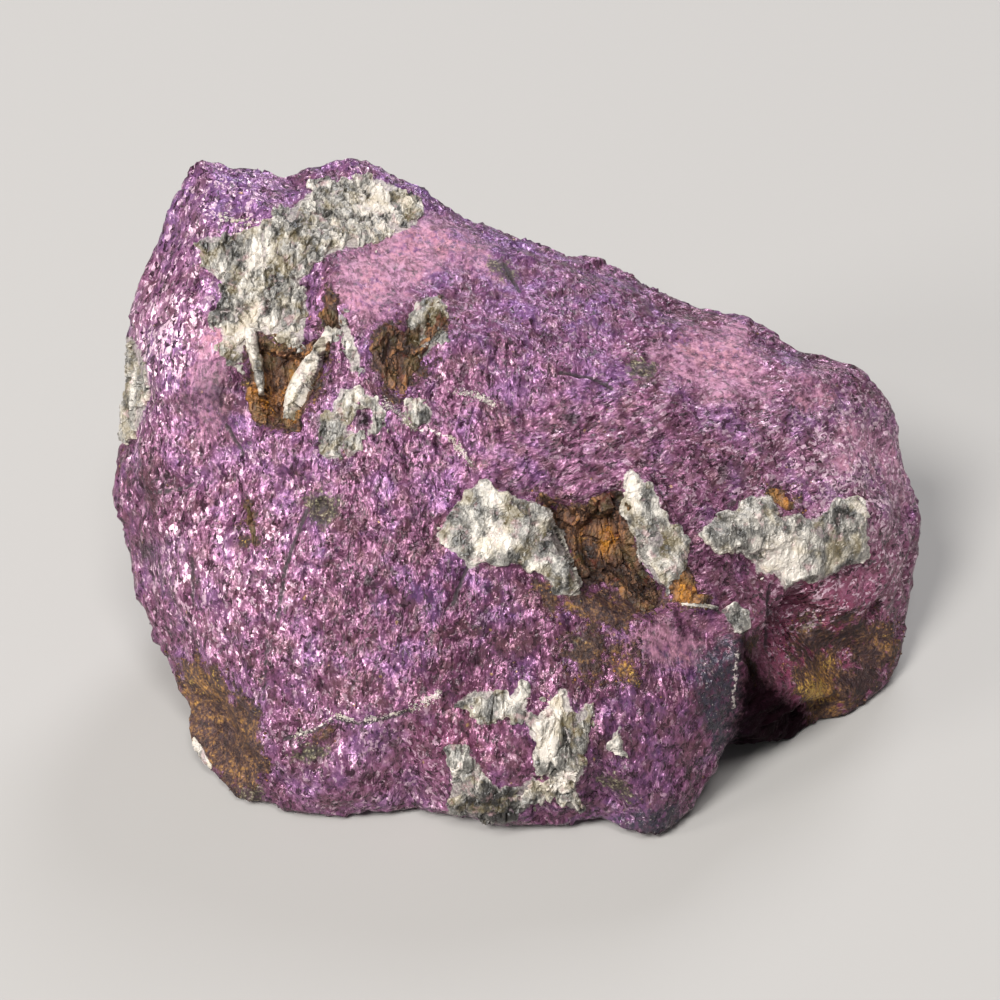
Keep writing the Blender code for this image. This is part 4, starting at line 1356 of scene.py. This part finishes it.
onVein = np.exp(-((values["vein"] / 0.25) ** 2)) * (cloud(points, 1.2 * mm, 83) > -0.1) * (across < lobeStart)
makeCrumbs("whiteCrumbs", onVein)
besideRust = np.exp(-(((values["rust"] + 0.2) / 0.5) ** 2)) * (values["mica"] < -0.2)
makeCrumbs("rustCrumbs", besideRust * (values["gloom"] < -1.2))


# The pale studio floor, three soft lamps, a broad light from above and the camera at the photograph's angle
studio = {
    "floorSize": 12.0,
    "floorColour": paint(160, 158, 155),
    "speckleColour": paint(156, 153, 149),
    "speckleSize": 1 / 900,
    "worldColour": paint(236, 236, 240),
    "worldStrength": 0.20,
    # azimuth and elevation in degrees, distance and size in metres, power in watts, colour
    "lamps": {
        "key": (-40, 50, 1.05, 0.375, 13.1, (1.0, 0.98, 0.96)),
        "glitter": (-66, 22, 1.05, 0.275, 4.6, (1.0, 0.97, 0.95)),
        "rim": (165, 36, 1.05, 0.35, 6.2, (0.93, 0.94, 1.0)),
    },
    # azimuth, elevation and how broad it looks in degrees, watts a square metre, colour
    "skylight": (15, 72, 22, 1.45, (1.0, 0.98, 0.97)),
    "lens": 100,
    "sensor": 36,
    "cameraDistance": 222.2 * mm,
}
heart = np.array([0, 0, stance["heartHeight"]])


def direction(azimuth, elevation):
    # The unit vector toward a place seen at this azimuth (0 is −Y, 90 is +X) and elevation, in degrees
    a, e = math.radians(azimuth), math.radians(elevation)
    return np.array([math.sin(a) * math.cos(e), -math.cos(a) * math.cos(e), math.sin(e)])


def aimed(name, data, away):
    # A lamp or camera this far from the stone's heart, turned toward it
    thing = bpy.data.objects.new(name, data)
    thing.location = heart + away
    thing.rotation_mode = "QUATERNION"
    thing.rotation_quaternion = Vector(-away).to_track_quat("-Z", "Y")
    bpy.context.scene.collection.objects.link(thing)
    return thing


def makeFloor():
    half = studio["floorSize"] / 2
    corners = np.array([(-half, -half, 0), (half, -half, 0), (half, half, 0), (-half, half, 0)])
    floor = bpy.data.objects.new("studioFloor", buildMesh("studioFloor", corners, [0, 1, 2, 3], [0]))
    material, wire, shader = newMaterial("studioFloor", {"Roughness": 0.85})
    speckle = wire.noise(wire.node("TexCoord", {}, {}, "Object"), studio["speckleSize"], 3.0) * 0.08
    plug(shader, "Base Color", speckle.mixed(studio["floorColour"], studio["speckleColour"]))
    floor.data.materials.append(material)
    bpy.context.scene.collection.objects.link(floor)


def makeLights():
    for name, (azimuth, elevation, distance, size, power, tint) in studio["lamps"].items():
        lamp = bpy.data.lights.new(name, "AREA")
        lamp.shape = "DISK"
        lamp.size = size
        lamp.energy = power
        lamp.color = tint
        aimed(name, lamp, direction(azimuth, elevation) * distance)
    azimuth, elevation, breadth, strength, tint = studio["skylight"]
    skylight = bpy.data.lights.new("skylight", "SUN")
    skylight.angle = math.radians(breadth)
    skylight.energy = strength
    skylight.color = tint
    aimed("skylight", skylight, direction(azimuth, elevation))
    world = bpy.data.worlds.new("studioWorld")
    world.use_nodes = True
    background = world.node_tree.nodes["Background"]
    background.inputs["Color"].default_value = studio["worldColour"]
    background.inputs["Strength"].default_value = studio["worldStrength"]
    bpy.context.scene.world = world


def makeCamera():
    eye = bpy.data.cameras.new("camera")
    eye.lens = studio["lens"]
    eye.sensor_width = studio["sensor"]
    eye.clip_start = 0.01
    bpy.context.scene.camera = aimed("camera", eye, towardEye * studio["cameraDistance"])
    bpy.context.scene.view_settings.view_transform = "Standard"


print("setting up the studio")
makeFloor()
makeLights()
makeCamera()
